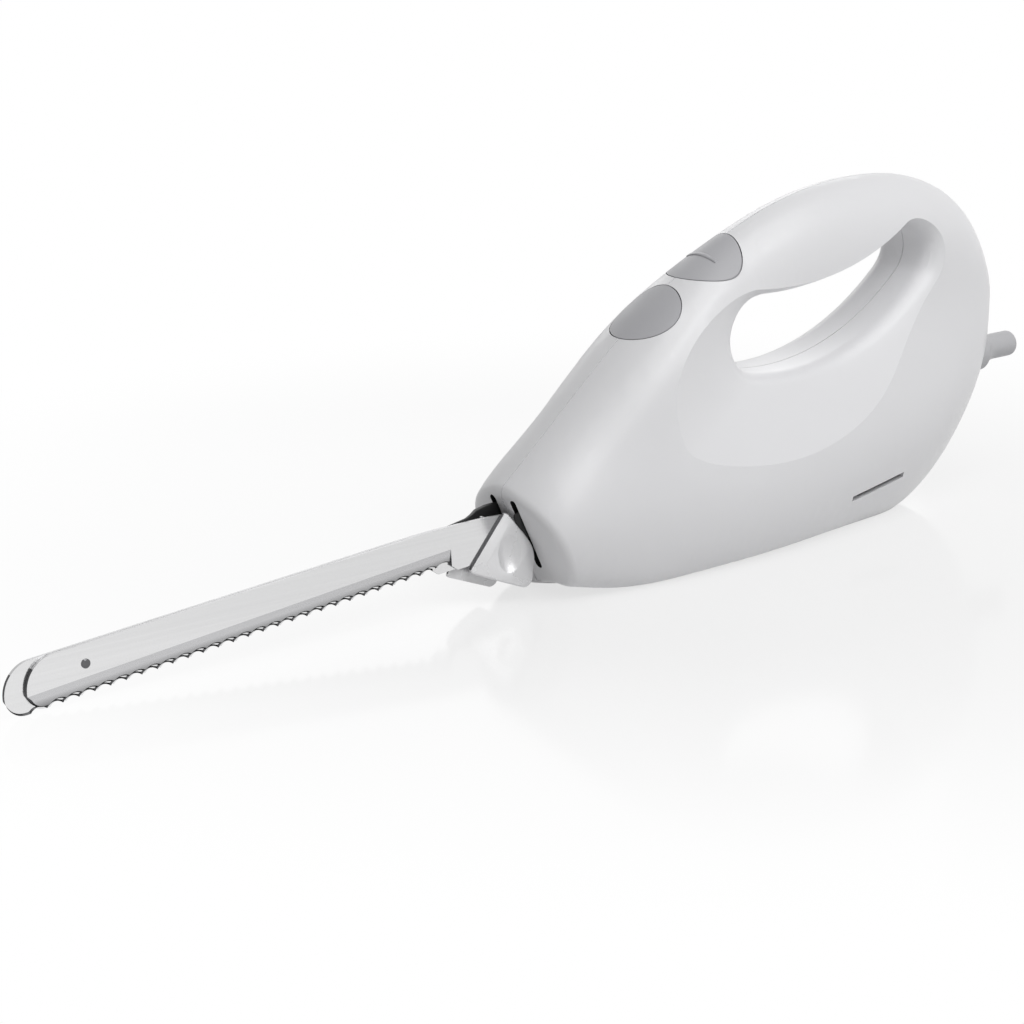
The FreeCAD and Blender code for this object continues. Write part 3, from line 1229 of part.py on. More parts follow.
def drive_ribs():
    """Ribs that cradle the guide, the gear frame and the motor."""
    middle = (GUIDE_FRONT + GUIDE_REAR - FLANGE) / 2
    half = GUIDE_HALF_WIDTH + SEAT
    guide_seat = box(-FAR, FAR, -half, half, GUIDE_LOW - SEAT, GUIDE_TOP + SEAT)
    ribs = [slab(middle - RIB / 2, middle + RIB / 2, -FAR, GUIDE_TOP).cut(guide_seat)]
    frame_seat = box(-FAR, FAR, -CHEEK_OUTER - SEAT, CHEEK_OUTER + SEAT, FRAME_FLOOR - SEAT, FAR)
    frame_length = FRAME_REAR - FRAME_WALL - FRAME_FRONT
    for share in FRAME_RIBS:
        x = FRAME_FRONT + share * frame_length
        ribs.append(slab(x, x + RIB, -FAR, AXIS_Z).cut(frame_seat))
    for share in STATOR_RIBS:
        x = CORE_FRONT + share * CORE_LENGTH - RIB / 2
        ribs.append(slab(x, x + RIB, -FAR, AXIS_Z + STATOR_HALF_HEIGHT).cut(stator_block(SEAT)))
    last = slab(BRACKET_FRONT, BRACKET_REAR, -FAR, AXIS_Z + BRACKET_HALF_HEIGHT)
    ribs.append(last.cut(bracket_plate(SEAT)))
    return [set_in(rib, DRIVE) for rib in ribs]


def button_shelf(frame, stem_x, toward_rear):
    """Shelf under a button, from the rib between the buttons to the rib on its far side."""
    ends = sorted((toward_rear * SHELF_REACH, -toward_rear * BUTTON_SPAN / 2))
    shelf = box(ends[0], ends[1], -SHELF_HALF_WIDTH, SHELF_HALF_WIDTH, SWITCH_TOP, -SHELF_DROP)
    hole = rod_z(SWITCH_TOP - 1, 1 - SHELF_DROP, STEM_RADIUS + STEM_HOLE_GAP, stem_x)
    return set_in(shelf.cut(hole), frame)


def button_ribs():
    """Shelves under the buttons, hung on ribs ahead of, between and behind them."""
    shelves = [button_shelf(POWER_FRAME, POWER_STEM_X, 1), button_shelf(RELEASE_FRAME, 0.0, -1)]
    hanger = box(-SHELF / 2, SHELF / 2, -FAR, FAR, SWITCH_TOP, FAR)
    ribs = [set_in(hanger, MIDDLE_FRAME)]
    for frame, side in ((POWER_FRAME, 1), (RELEASE_FRAME, -1)):
        moved = hanger.copy()
        moved.translate(V(side * (SHELF_REACH - SHELF / 2), 0, 0))
        ribs.append(set_in(moved, frame))
    room = set_in(switch_case(SEAT), POWER_FRAME)
    return [rib.cut(room) for rib in shelves + ribs]


def button_opening(frame):
    """Round opening for a button, cut down to its shelf in the middle and past the wall at its sides."""
    bar = rod_z(-CAP_DEPTH - BUTTON_TRAVEL - RUN, SHELF_DROP, BUTTON_RADIUS + BUTTON_GAP)
    shelf_room = box(-FAR, FAR, -SHELF_HALF_WIDTH, SHELF_HALF_WIDTH, -FAR, -SHELF_DROP)
    return set_in(bar.cut(shelf_room), frame)


def cord_ribs():
    """Tray for the wiring, and the shelf with posts that the cord clamp screws down on."""
    rear = CLAMP_X + CLAMP_LENGTH
    tray = box(TRAY_X[0], TRAY_X[1], -FAR, FAR, TRAY_Z, TRAY_TOP)
    shelf = box(CLAMP_X - SHELF, rear + SHELF, -FAR, FAR, CLAMP_SHELF_Z - SHELF, CLAMP_SHELF_Z)
    posts = box(CLAMP_X, rear, -CLAMP_HALF_WIDTH, CLAMP_HALF_WIDTH, CLAMP_SHELF_Z, CLAMP_LOW)
    groove = rod_x(CLAMP_X - 1, rear + 1, CORD_BORE, 0, CORD_Z)
    return [tray, shelf, posts.cut([groove] + clamp_holes())]


def blade_slot():
    """Upright slot with round ends in the nose."""
    front = NOSE_LINE_X - SLOT_RUN
    rear = NOSE_LINE_X + SLOT_RUN
    low = SLOT_LOW + SLOT_HALF_WIDTH
    high = SLOT_HIGH - SLOT_HALF_WIDTH
    ends = [rod_x(front, rear, SLOT_HALF_WIDTH, 0, z) for z in (low, high)]
    return join([box(front, rear, -SLOT_HALF_WIDTH, SLOT_HALF_WIDTH, low, high)] + ends)


def casing_openings():
    """Everything cut through the wall: buttons, blade slots, vents, cord hole and screw holes."""
    cuts = [button_opening(POWER_FRAME), button_opening(RELEASE_FRAME)]
    cuts += [set_in(at_lane(blade_slot(), side), DRIVE) for side in (-1, 1)]
    vent = box(-VENT_LENGTH / 2, VENT_LENGTH / 2, VENT_INSIDE, FAR, -VENT_HEIGHT / 2, VENT_HEIGHT / 2)
    vent = set_in(vent, place(VENT_X, VENT_Z, VENT_TIP))
    cuts += [vent, mirror(vent)]
    cuts.append(rod_x(GUARD_INNER_X, FAR, GUARD_NECK_RADIUS + SEAT, 0, CORD_Z))
    for x, z in BOSSES:
        cuts.append(rod_y(-SCREW_DEPTH - 1, SCREW_DEPTH, SCREW_RADIUS + SEAT, x, z))
        cuts.append(rod_y(SCREW_DEPTH, FAR, SCREW_HEAD_RADIUS + RUN, x, z))
    return cuts


def casing_screws():
    screws = []
    for x, z in BOSSES:
        shank = rod_y(-SCREW_DEPTH, SCREW_DEPTH, SCREW_RADIUS, x, z)
        screws.append(join([shank, rod_y(SCREW_DEPTH, SCREW_DEPTH + SCREW_HEAD, SCREW_HEAD_RADIUS, x, z)]))
    return Part.makeCompound(screws)


def casing_shell():
    """Both halves in one: walls, ribs and bosses, with every opening."""
    bosses = [rod_y(-FAR, FAR, BOSS_RADIUS, x, z) for x, z in BOSSES]
    cavity = body_form(WALL).cut(drive_ribs() + button_ribs() + cord_ribs() + bosses)
    strip = box(-FAR, FAR, -SEAM_WIDTH / 2, SEAM_WIDTH / 2, SEAM_DEPTH, FAR)
    seam = OUTER_FORM.common(strip).cut(body_form(SEAM_DEPTH))
    return OUTER_FORM.cut([cavity, seam] + casing_openings())


OUTER_SKIN = skin(0)
LIP_SKIN = skin(WALL + RUN)
CAP_SKIN = skin(CAP_THICKNESS)
OUTER_FORM = body_form(0)
LEFT = -1
RIGHT = 1


def whole_knife():
    """Every piece by name, where it belongs at rest."""
    shell = casing_shell()
    left_sheet = mirror(right_blade_sheet()).cut(rod_y(-FAR, FAR, RIVET_RADIUS, RIVET_X, RIVET_Z))
    pieces = {
        "left_casing": shell.common(box(-FAR, FAR, -FAR, 0, -FAR, FAR)),
        "right_casing": shell.common(box(-FAR, FAR, 0, FAR, -FAR, FAR)),
        "casing_screws": casing_screws(),
        "power_button": power_button(),
        "switch_plunger": switch_plunger(),
        "power_switch": power_switch(),
        "power_spring": button_spring(POWER_FRAME, POWER_SPRING_X),
        "release_button": release_button(),
        "release_fork": release_fork(),
        "release_spring": button_spring(RELEASE_FRAME, 0.0),
        "cord_guard": cord_guard(),
        "cord_clamp": cord_clamp(),
        "clamp_screws": clamp_screws(),
        "terminal_block": terminal_block(),
        "capacitor": capacitor(),
    }
    drive = {
        "carrier_guide": carrier_guide(),
        "drive_gear": drive_gear(),
        "gear_axle": gear_axle(),
        "gear_frame": gear_frame(),
        "worm_bush": ring(FRAME_FRONT, FRAME_WALL, BUSH_RADIUS, JOURNAL_RADIUS + SEAT),
        "front_bearing": ball_bearing(FRAME_REAR - FRAME_WALL),
        "rear_bearing": ball_bearing(BRACKET_FRONT),
        "armature_shaft": armature_shaft(),
        "armature_core": armature_core(),
        "armature_windings": armature_windings(),
        "commutator": commutator(),
        "cooling_fan": cooling_fan(),
        "stator_core": stator_core(),
        "field_coils": field_coils(),
        "stator_screws": stator_screws(),
        "rear_bracket": rear_bracket(),
        "brush_holders": brush_holders(),
        "carbon_brushes": carbon_brushes(),
        "left_blade": at_stroke(left_sheet, LEFT),
        "right_blade": at_stroke(right_blade_sheet().cut(rivet_slot()), RIGHT),
        "blade_rivet": at_stroke(blade_rivet(), LEFT),
        "left_blade_grip": at_stroke(mirror(right_blade_grip()), LEFT),
        "right_blade_grip": at_stroke(right_blade_grip(), RIGHT),
    }
    for name, side in (("left", LEFT), ("right", RIGHT)):
        drive[name + "_carrier"] = at_stroke(at_lane(carrier(), side), side)
        drive[name + "_catch"] = at_stroke(at_lane(catch(), side), side)
    for name, piece in drive.items():
        pieces[name] = set_in(piece, DRIVE)
    return pieces


os.makedirs("parts", exist_ok=True)
for name, piece in whole_knife().items():
    piece.exportStep("parts/" + name + ".step")
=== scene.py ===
"""Looks for the electric carving knife: finishes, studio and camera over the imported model."""
import json
import math

import bpy
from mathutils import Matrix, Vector


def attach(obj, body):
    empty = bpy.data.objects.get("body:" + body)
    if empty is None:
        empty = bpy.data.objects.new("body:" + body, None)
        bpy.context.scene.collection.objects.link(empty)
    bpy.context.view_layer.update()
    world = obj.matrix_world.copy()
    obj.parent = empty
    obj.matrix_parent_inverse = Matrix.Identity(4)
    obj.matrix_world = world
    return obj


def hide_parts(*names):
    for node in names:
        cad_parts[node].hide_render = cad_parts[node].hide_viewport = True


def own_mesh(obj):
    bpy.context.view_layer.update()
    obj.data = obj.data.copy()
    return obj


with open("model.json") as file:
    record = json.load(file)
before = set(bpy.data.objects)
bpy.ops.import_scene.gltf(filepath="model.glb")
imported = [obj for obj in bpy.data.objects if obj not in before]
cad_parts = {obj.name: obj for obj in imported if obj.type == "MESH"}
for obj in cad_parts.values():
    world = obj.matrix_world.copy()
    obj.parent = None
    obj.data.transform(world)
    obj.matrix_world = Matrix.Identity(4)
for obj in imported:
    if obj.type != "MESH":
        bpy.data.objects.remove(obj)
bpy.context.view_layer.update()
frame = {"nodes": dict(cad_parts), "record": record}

BODY_OF = {node: body for body, nodes in frame["record"]["behaviour"]["bodies"].items() for node in nodes}
SLOT_OF = {part["node"]: part["material_slot"] for part in frame["record"]["subparts"]}


def axes(tilt):
    """The directions along and up from a line that climbs towards the cord end at this angle."""
    return Vector((math.cos(tilt), 0.0, math.sin(tilt))), Vector((-math.sin(tilt), 0.0, math.cos(tilt)))


MM = 0.001
WHITE = (1.0, 1.0, 1.0, 1.0)

# The drive line, on which the blades and the motor lie, from the gear's middle.
DRIVE_RAKE = math.radians(4.3)
DRIVE_ZERO = Vector((-0.040, 0.0, 0.0313))
DRIVE_ALONG, BLADE_UP = axes(DRIVE_RAKE)
ACROSS = Vector((0.0, 1.0, 0.0))

# Each blade unit's side of the middle plane, and its place at rest, in millimetres from mid stroke.
HAND = {"left": -1.0, "right": 1.0}
STROKE_AT_REST = {"left": 4.0, "right": -4.0}

# A CAD node's facets are merged within this distance, and shaded smooth up to an angle in degrees.
MERGE = 2e-6
SMOOTH_ANGLE = 28.0
CREASE = {"left_casing": 13.0, "right_casing": 13.0, "left_blade_grip": 45.0, "right_blade_grip": 45.0}

# The blades: the chamfer round each gullet, the angles in degrees at which faces count as one flat and
# edges as creases, and the tooth line, towards which a painted dark reflection darkens the bevel's colour
# to a share of its own.
GULLET_CHAMFER = 0.0011
FLAT_WITHIN = 0.4
BLADE_ANGLE = 5.0
EDGE_UP = axes(math.radians(5.33))[1]
TOOTH_LINE = 0.0294
BEVEL_REFLECTION_BAND = 0.0042
TOOTH_REFLECTION_SHARE = 0.25

# How far a blade face's normal points sideways, down or up tells its cuts, bevels, flats and spine apart.
CUT_SIDEWAYS = 0.1
CUT_DOWN = -0.35
BEVEL_SIDEWAYS = 0.9
FLAT_SIDEWAYS = 0.998
SPINE_UP = 0.7

# The stations of the black sheets of painted shade along the tangs, on the drive line at mid stroke, in
# millimetres: how far along, how far from the middle plane, half the thickness, and the lower and upper
# edge. The left blade's sheet is short, because its grip stands before it.
SHADE_SHEET_STATIONS = {
    "right": [(-91.0, 0.75, 0.5, 6.0, 7.4), (-80.4, 0.95, 0.6, 5.0, 8.2), (-76.5, 2.8, 0.8, 4.8, 8.2),
              (-71.8, 5.8, 1.0, 4.6, 8.2), (-67.1, 5.8, 1.0, 2.0, 8.8), (-56.0, 5.8, 1.0, -4.0, 8.5)],
    "left": [(-70.3, 5.0, 0.7, 3.0, 6.0), (-69.0, 5.8, 1.0, 0.0, 7.0), (-67.1, 5.8, 1.0, -4.0, 7.6),
             (-56.0, 5.8, 1.0, -4.0, 8.5)],
}
SHADE_SHEET_BLANK = 0.002
SHADE_SHEET_STEP = 0.001
SHADE_SHEET_ROUND = 0.0003
SHADE_SHEET_SEGMENTS = 3
SHADE_SHEET_CORNER = 40.0
SHADE_SHEET_ANGLE = 35.0

# The grips: a point on the front edge at mid stroke, along and up the drive line in millimetres, the way
# that edge faces, and how deep the painted shadow at its foot goes.
GRIP_FRONT = (-91.1, -11.6)
GRIP_OUTWARD = (-0.711, 0.703)
PAINTED_SHADOW_WIDTH = 0.0002

# The power button, and the finger rib across it.
POWER_MIDDLE = Vector((-0.0103, 0.0, 0.11634))
POWER_TILT = math.radians(27.214)
RIB_HALF = 0.0009
RIB_REACH = 0.0081
RIB_UP = 0.3
RIB_WEAR = 0.0005

# The blade slots in the nose: distance from the middle plane, half the width that is searched, lower and
# upper end, how far back they are seen, and how little a slot wall faces along the drive line.
SLOT_LANE = 0.0058
SLOT_HALF = 0.00175
SLOT_RISE = (-0.0172, 0.0122)
SLOT_BACK = -0.052
SLOT_WALL = 0.5

# The sockets of an effect group, the scale and detail of its noises, and the range that most noise keeps to.
EFFECT_INPUTS = {"Vector": "NodeSocketVector", "Colour": "NodeSocketColor", "Shade": "NodeSocketColor",
                 "Gloss Low": "NodeSocketFloat", "Gloss High": "NodeSocketFloat"}
EFFECT_OUTPUTS = {"Colour": "NodeSocketColor", "Roughness": "NodeSocketFloat", "Height": "NodeSocketFloat"}
DRIFT = (14.0, 3.0)
SMEARS = (45.0, 5.0)
GRAIN = (2500.0, 2.0)
LINES = (1.0, 6.0)
BROAD_LINES = (0.12, 2.0)
LINE_SHARE = 0.6
BROAD_SHARE = 0.4
NOISE_LOW = 0.3
NOISE_HIGH = 0.7

# A Mix node's colour sockets come after those for numbers and vectors.
MIX_FIRST = 6
MIX_SECOND = 7
MIX_RESULT = 2

# How a metal's lines are stretched: along the blade, even, round a shaft, across a core, along the wire.
ALONG_BLADE = (6.0, 900.0, 900.0)
EVEN = (400.0, 400.0, 400.0)
ROUND_SHAFT = (600.0, 60.0, 60.0)
ACROSS_CORE = (1600.0, 4.0, 4.0)
ALONG_WIRE = (40.0, 1800.0, 1800.0)

# The studio: the floor, its white glow by distance from the knife, the surround's own light, and the lamps
# by name, place, aim, size and power.
FLOOR_SIZE = 12.0
FLOOR_LEVEL = -0.0002
FLOOR_COLOUR = (0.72, 0.72, 0.72, 1.0)
FLOOR_ROUGHNESS = 0.12
GLOW_NEAR = 0.10
GLOW_FAR = 0.40
GLOW_LEAST = 0.7
SURROUND_LIGHT = 0.26
LAMPS = (
    ("overhead", (0.05, -0.6, 1.2), (0.0, 0.0, 0.05), (1.2, 0.9), 7.4),
    ("near_side", (0.15, -1.1, 1.0), (0.0, 0.0, 0.06), (0.9, 0.7), 5.4),
    ("far_side", (0.6, 1.0, 0.6), (0.0, 0.0, 0.06), (0.9, 0.7), 2.2),
)

# The camera, as solved from the photograph's outline.
SENSOR_WIDTH = 36.0
LENS = 120.27
CLIP_START = 0.05
CAMERA_PLACE = (-0.8828, -0.9287, 0.3761)
CAMERA_LOOK = (0.6184, 0.7369, -0.2731)


def only(obj):
    """Leaves this object alone selected and active."""
    bpy.ops.object.select_all(action="DESELECT")
    obj.select_set(True)
    bpy.context.view_layer.objects.active = obj


def feed(tree, value, socket):
    """Sets a socket to a plain number, or links another socket to it."""
    if isinstance(value, (int, float)):
        socket.default_value = value
    else:
        tree.links.new(value, socket)


def math_node(tree, operation, first, second):
    """The result of a Math node, whose operands are sockets or plain numbers."""
    node = tree.nodes.new("ShaderNodeMath")
    node.operation = operation
    feed(tree, first, node.inputs[0])
    feed(tree, second, node.inputs[1])
    return node.outputs[0]


def ranged(tree, value, start, stop, low, high):
    """A Map Range node that turns start to stop into low to high."""
    node = tree.nodes.new("ShaderNodeMapRange")
    for label, limit in (("From Min", start), ("From Max", stop), ("To Min", low), ("To Max", high)):
        feed(tree, limit, node.inputs[label])
    tree.links.new(value, node.inputs["Value"])
    return node


def noise(tree, vector, scale, detail):
    """The value of a noise texture."""
    node = tree.nodes.new("ShaderNodeTexNoise")
    node.inputs["Scale"].default_value = scale
    node.inputs["Detail"].default_value = detail
    tree.links.new(vector, node.inputs["Vector"])
    return node.outputs["Fac"]


def span(tree, value, low, high):
    """A noise value stretched over a range given by sockets or numbers."""
    return ranged(tree, value, NOISE_LOW, NOISE_HIGH, low, high).outputs["Result"]


def effect_group(name):
    """An empty effect group with its named sockets, and its two end nodes."""
    tree = bpy.data.node_groups.new(name, "ShaderNodeTree")
    for label, kind in EFFECT_INPUTS.items():
        tree.interface.new_socket(label, in_out="INPUT", socket_type=kind)
    for label, kind in EFFECT_OUTPUTS.items():
        tree.interface.new_socket(label, in_out="OUTPUT", socket_type=kind)
    return tree, tree.nodes.new("NodeGroupInput"), tree.nodes.new("NodeGroupOutput")


def varied(tree, start, end, tone, gloss, height):
    """Sends out colour and roughness that follow two noise values, and a height."""
    mix = tree.nodes.new("ShaderNodeMix")
    mix.data_type = "RGBA"
    tree.links.new(span(tree, tone, 0.0, 1.0), mix.inputs["Factor"])
    tree.links.new(start.outputs["Colour"], mix.inputs[MIX_FIRST])
    tree.links.new(start.outputs["Shade"], mix.inputs[MIX_SECOND])
    tree.links.new(mix.outputs[MIX_RESULT], end.inputs["Colour"])
    roughness = span(tree, gloss, start.outputs["Gloss Low"], start.outputs["Gloss High"])
    tree.links.new(roughness, end.inputs["Roughness"])
    tree.links.new(height, end.inputs["Height"])


def moulded_skin():
    """Moulded plastic: a slow drift of shade, gloss that comes and goes, and the tool's fine grain."""
    tree, start, end = effect_group("moulded_skin")
    vector = start.outputs["Vector"]
    drift, smears, grain = (noise(tree, vector, *kind) for kind in (DRIFT, SMEARS, GRAIN))
    varied(tree, start, end, drift, smears, grain)
    return tree


def ground_metal():
    """Ground or turned metal: fine lines along one direction, in shade, gloss and height."""
    tree, start, end = effect_group("ground_metal")
    vector = start.outputs["Vector"]
    lines, broad = (noise(tree, vector, *kind) for kind in (LINES, BROAD_LINES))
    both = math_node(tree, "ADD", math_node(tree, "MULTIPLY", lines, LINE_SHARE),
                     math_node(tree, "MULTIPLY", broad, BROAD_SHARE))
    varied(tree, start, end, both, both, lines)
    return tree


def finish(name, effect, colour, shade, gloss, relief, settings, stretch=None, turn=0.0):
    """A material of one effect on Object coordinates, with its constants on the shader's own sockets."""
    material = bpy.data.materials.new(name)
    material.use_nodes = True
    tree = material.node_tree
    shader = tree.nodes["Principled BSDF"]
    place = tree.nodes.new("ShaderNodeTexCoord").outputs["Object"]
    if stretch:
        mapping = tree.nodes.new("ShaderNodeMapping")
        mapping.inputs["Scale"].default_value = stretch
        mapping.inputs["Rotation"].default_value = (0.0, turn, 0.0)
        tree.links.new(place, mapping.inputs["Vector"])
        place = mapping.outputs["Vector"]
    group = tree.nodes.new("ShaderNodeGroup")
    group.node_tree = effect
    tree.links.new(place, group.inputs["Vector"])
    group.inputs["Colour"].default_value = (*colour, 1.0)
    group.inputs["Shade"].default_value = (*shade, 1.0)
    group.inputs["Gloss Low"].default_value, group.inputs["Gloss High"].default_value = gloss
    tree.links.new(group.outputs["Colour"], shader.inputs["Base Color"])
    tree.links.new(group.outputs["Roughness"], shader.inputs["Roughness"])
    bump = tree.nodes.new("ShaderNodeBump")
    bump.inputs["Strength"].default_value, bump.inputs["Distance"].default_value = relief
    tree.links.new(group.outputs["Height"], bump.inputs["Height"])
    tree.links.new(bump.outputs["Normal"], shader.inputs["Normal"])
    for socket, value in settings.items():
        shader.inputs[socket].default_value = value
    return material


def paint_dark_reflection(material, up, low, high, least):
    """Paints dark reflection on a finish: darkens it towards a lower level along a direction, to a share of
    its colour.
    """
    tree = material.node_tree
    base = tree.nodes["Principled BSDF"].inputs["Base Color"]
    colour = base.links[0].from_socket
    height = tree.nodes.new("ShaderNodeVectorMath")
    height.operation = "DOT_PRODUCT"
    height.inputs[1].default_value = up
    tree.links.new(tree.nodes.new("ShaderNodeTexCoord").outputs["Object"], height.inputs[0])
    level = ranged(tree, height.outputs["Value"], low, high, least, 1.0)
    shade = tree.nodes.new("ShaderNodeVectorMath")
    shade.operation = "SCALE"
    tree.links.new(colour, shade.inputs[0])
    tree.links.new(level.outputs["Result"], shade.inputs["Scale"])
    tree.links.new(shade.outputs["Vector"], base)


MOULDED_SKIN = moulded_skin()
GROUND_METAL = ground_metal()

# Each finish: its effect, its colour and the shade that it drifts to, its least and most roughness, its
# relief's strength and depth, the shader's own constants, and the stretch and turn of a metal's lines.
FINISH_SHEET = {
    "casing_white": (
        MOULDED_SKIN, (0.80, 0.80, 0.815), (0.785, 0.785, 0.80), (0.30, 0.38), (0.02, 0.0001),
        {"Coat Weight": 0.12, "Coat Roughness": 0.15, "IOR": 1.46}),
    "button_grey": (
        MOULDED_SKIN, (0.45, 0.45, 0.468), (0.425, 0.425, 0.445), (0.40, 0.52), (0.15, 0.0002),
        {"IOR": 1.5}),
    "grip_silver": (
        MOULDED_SKIN, (0.74, 0.74, 0.75), (0.70, 0.70, 0.71), (0.24, 0.31), (0.08, 0.0002),
        {"IOR": 1.5, "Metallic": 0.3}),
    # A painted shadow at the foot of the grips' front edge.
    "grip_painted_shadow": (
        MOULDED_SKIN, (0.10, 0.10, 0.105), (0.07, 0.07, 0.075), (0.45, 0.55), (0.1, 0.0002),
        {"IOR": 1.45}),
    "guard_rubber": (
        MOULDED_SKIN, (0.52, 0.52, 0.535), (0.48, 0.48, 0.495), (0.45, 0.58), (0.2, 0.0002),
        {"IOR": 1.5}),
    "slide_nylon": (
        MOULDED_SKIN, (0.80, 0.77, 0.68), (0.74, 0.71, 0.62), (0.38, 0.50), (0.1, 0.0002),
        {"IOR": 1.53}),
    "carbon": (
        MOULDED_SKIN, (0.035, 0.035, 0.036), (0.02, 0.02, 0.02), (0.5, 0.65), (0.2, 0.0002),
        {"IOR": 1.6}),
    # Black moulding; also painted shade on the slot walls and on the black sheets along the tangs.
    "dark_moulding": (
        MOULDED_SKIN, (0.014, 0.014, 0.015), (0.009, 0.009, 0.010), (0.42, 0.54), (0.1, 0.0002),
        {"IOR": 1.4}),
    "blade_steel": (
        GROUND_METAL, (0.80, 0.80, 0.805), (0.75, 0.75, 0.755), (0.13, 0.19), (0.02, 0.0001),
        {"Metallic": 1.0}, ALONG_BLADE, DRIVE_RAKE),
    # The bevel: the blade's steel painted darker as a painted dark reflection, and ground rougher.
    "bevel_steel_painted_dark": (
        GROUND_METAL, (0.60, 0.60, 0.61), (0.565, 0.565, 0.575), (0.24, 0.30), (0.03, 0.0001),
        {"Metallic": 1.0}, ALONG_BLADE, DRIVE_RAKE),
    # Nearly black steel: painted shade on the blades' cuts, ends and gullet chamfers.
    "edge_steel_painted_shade": (
        GROUND_METAL, (0.09, 0.09, 0.093), (0.05, 0.05, 0.052), (0.22, 0.34), (0.02, 0.0001),
        {"Metallic": 1.0}, EVEN, DRIVE_RAKE),
    "spine_steel": (
        GROUND_METAL, (0.52, 0.52, 0.525), (0.46, 0.46, 0.465), (0.45, 0.56), (0.03, 0.0001),
        {"Metallic": 1.0}, ALONG_BLADE, DRIVE_RAKE),
    # The rivet's steel, painted dark as the shade of the hole that it sits in.
    "rivet_steel_painted_shade": (
        GROUND_METAL, (0.16, 0.16, 0.165), (0.10, 0.10, 0.104), (0.16, 0.24), (0.02, 0.0001),
        {"Metallic": 1.0}, EVEN),
    "screw_steel": (
        GROUND_METAL, (0.66, 0.66, 0.67), (0.54, 0.54, 0.55), (0.18, 0.32), (0.02, 0.0001),
        {"Metallic": 1.0}, EVEN),
    "spring_steel": (
        GROUND_METAL, (0.62, 0.62, 0.64), (0.52, 0.52, 0.54), (0.18, 0.30), (0.02, 0.0001),
        {"Metallic": 1.0}, EVEN),
    "frame_metal": (
        GROUND_METAL, (0.62, 0.62, 0.63), (0.50, 0.50, 0.51), (0.38, 0.55), (0.2, 0.0002),
        {"Metallic": 1.0}, EVEN),
    "shaft_steel": (
        GROUND_METAL, (0.58, 0.58, 0.60), (0.48, 0.48, 0.50), (0.20, 0.32), (0.02, 0.0001),
        {"Metallic": 1.0}, ROUND_SHAFT),
    "core_iron": (
        GROUND_METAL, (0.24, 0.24, 0.26), (0.14, 0.14, 0.15), (0.42, 0.60), (0.4, 0.0002),
        {"Metallic": 0.8}, ACROSS_CORE, DRIVE_RAKE),
    "copper": (
        GROUND_METAL, (0.66, 0.30, 0.14), (0.46, 0.18, 0.08), (0.26, 0.42), (0.5, 0.0002),
        {"Metallic": 1.0}, ALONG_WIRE, DRIVE_RAKE),
}
FINISHES = {name: finish(name, *row) for name, row in FINISH_SHEET.items()}
# Painted dark reflection: the bevel's colour darkens towards the tooth line.
paint_dark_reflection(FINISHES["bevel_steel_painted_dark"], EDGE_UP, TOOTH_LINE, TOOTH_LINE + BEVEL_REFLECTION_BAND, TOOTH_REFLECTION_SHARE)


def smoothed(node, angle):
    """A copy of a CAD node with its facets merged and shaded smooth, in place of the node."""
    piece = bpy.data.objects.new(node + "_skin", frame["nodes"][node].data.copy())
    bpy.context.collection.objects.link(piece)
    only(piece)
    bpy.ops.object.mode_set(mode="EDIT")
    bpy.ops.mesh.select_all(action="SELECT")
    bpy.ops.mesh.remove_doubles(threshold=MERGE)
    bpy.ops.object.mode_set(mode="OBJECT")
    bpy.ops.mesh.customdata_custom_splitnormals_clear()
    bpy.ops.object.shade_smooth_by_angle(angle=math.radians(angle))
    piece.data.materials.clear()
    piece.data.materials.append(FINISHES[SLOT_OF[node]])
    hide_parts(node)
    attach(piece, BODY_OF[node])
    return piece


def refinished(piece, name, chosen):
    """Gives the faces of a piece that a test picks out another finish."""
    piece.data.materials.append(FINISHES[name])
    place = len(piece.data.materials) - 1
    for face in piece.data.polygons:
        if chosen(face):
            face.material_index = place


def gullet_edges(mesh):
    """Selects the edges where a blade's bevel runs out into the downward faces of its gullets."""
    beside = {}
    for face in mesh.polygons:
        for key in face.edge_keys:
            beside.setdefault(key, []).append(face.normal)
    for edge in mesh.edges:
        normals = sorted(beside[tuple(sorted(edge.vertices))], key=lambda normal: abs(normal.y))
        cut, ground = normals[0], normals[-1]
        downward = abs(cut.y) < CUT_SIDEWAYS and cut.dot(BLADE_UP) < CUT_DOWN
        edge.select = downward and BEVEL_SIDEWAYS < abs(ground.y) < FLAT_SIDEWAYS


def ground_edges(piece):
    """Grinds a chamfer round each gullet of a blade, and gives bevel, edges and spine their own finishes."""
    only(piece)
    bpy.ops.object.mode_set(mode="EDIT")
    bpy.ops.mesh.select_mode(type="EDGE")
    bpy.ops.mesh.select_all(action="SELECT")
    bpy.ops.mesh.dissolve_limited(angle_limit=math.radians(FLAT_WITHIN))
    bpy.ops.mesh.select_all(action="DESELECT")
    bpy.ops.object.mode_set(mode="OBJECT")
    gullet_edges(piece.data)
    bpy.ops.object.mode_set(mode="EDIT")
    bpy.ops.mesh.bevel(offset=GULLET_CHAMFER, offset_type="OFFSET", segments=1, affect="EDGES")
    bpy.ops.mesh.select_all(action="SELECT")
    bpy.ops.mesh.quads_convert_to_tris()
    bpy.ops.object.mode_set(mode="OBJECT")
    bpy.ops.object.shade_smooth_by_angle(angle=math.radians(BLADE_ANGLE))
    # The bevel gets the blade's steel painted darker, as a painted dark reflection.
    refinished(piece, "bevel_steel_painted_dark", lambda face: BEVEL_SIDEWAYS <= abs(face.normal.y) < FLAT_SIDEWAYS)
    # Painted shade: the cuts, ends and gullet chamfers get nearly black steel.
    refinished(piece, "edge_steel_painted_shade", lambda face: abs(face.normal.y) < BEVEL_SIDEWAYS)
    refinished(piece, "spine_steel", lambda face: face.normal.dot(BLADE_UP) > SPINE_UP)


def on_drive(along, across, up):
    """A point on the drive line's own axes, in metres, given in millimetres from the gear's middle."""
    return DRIVE_ZERO + MM * (along * DRIVE_ALONG + across * ACROSS + up * BLADE_UP)


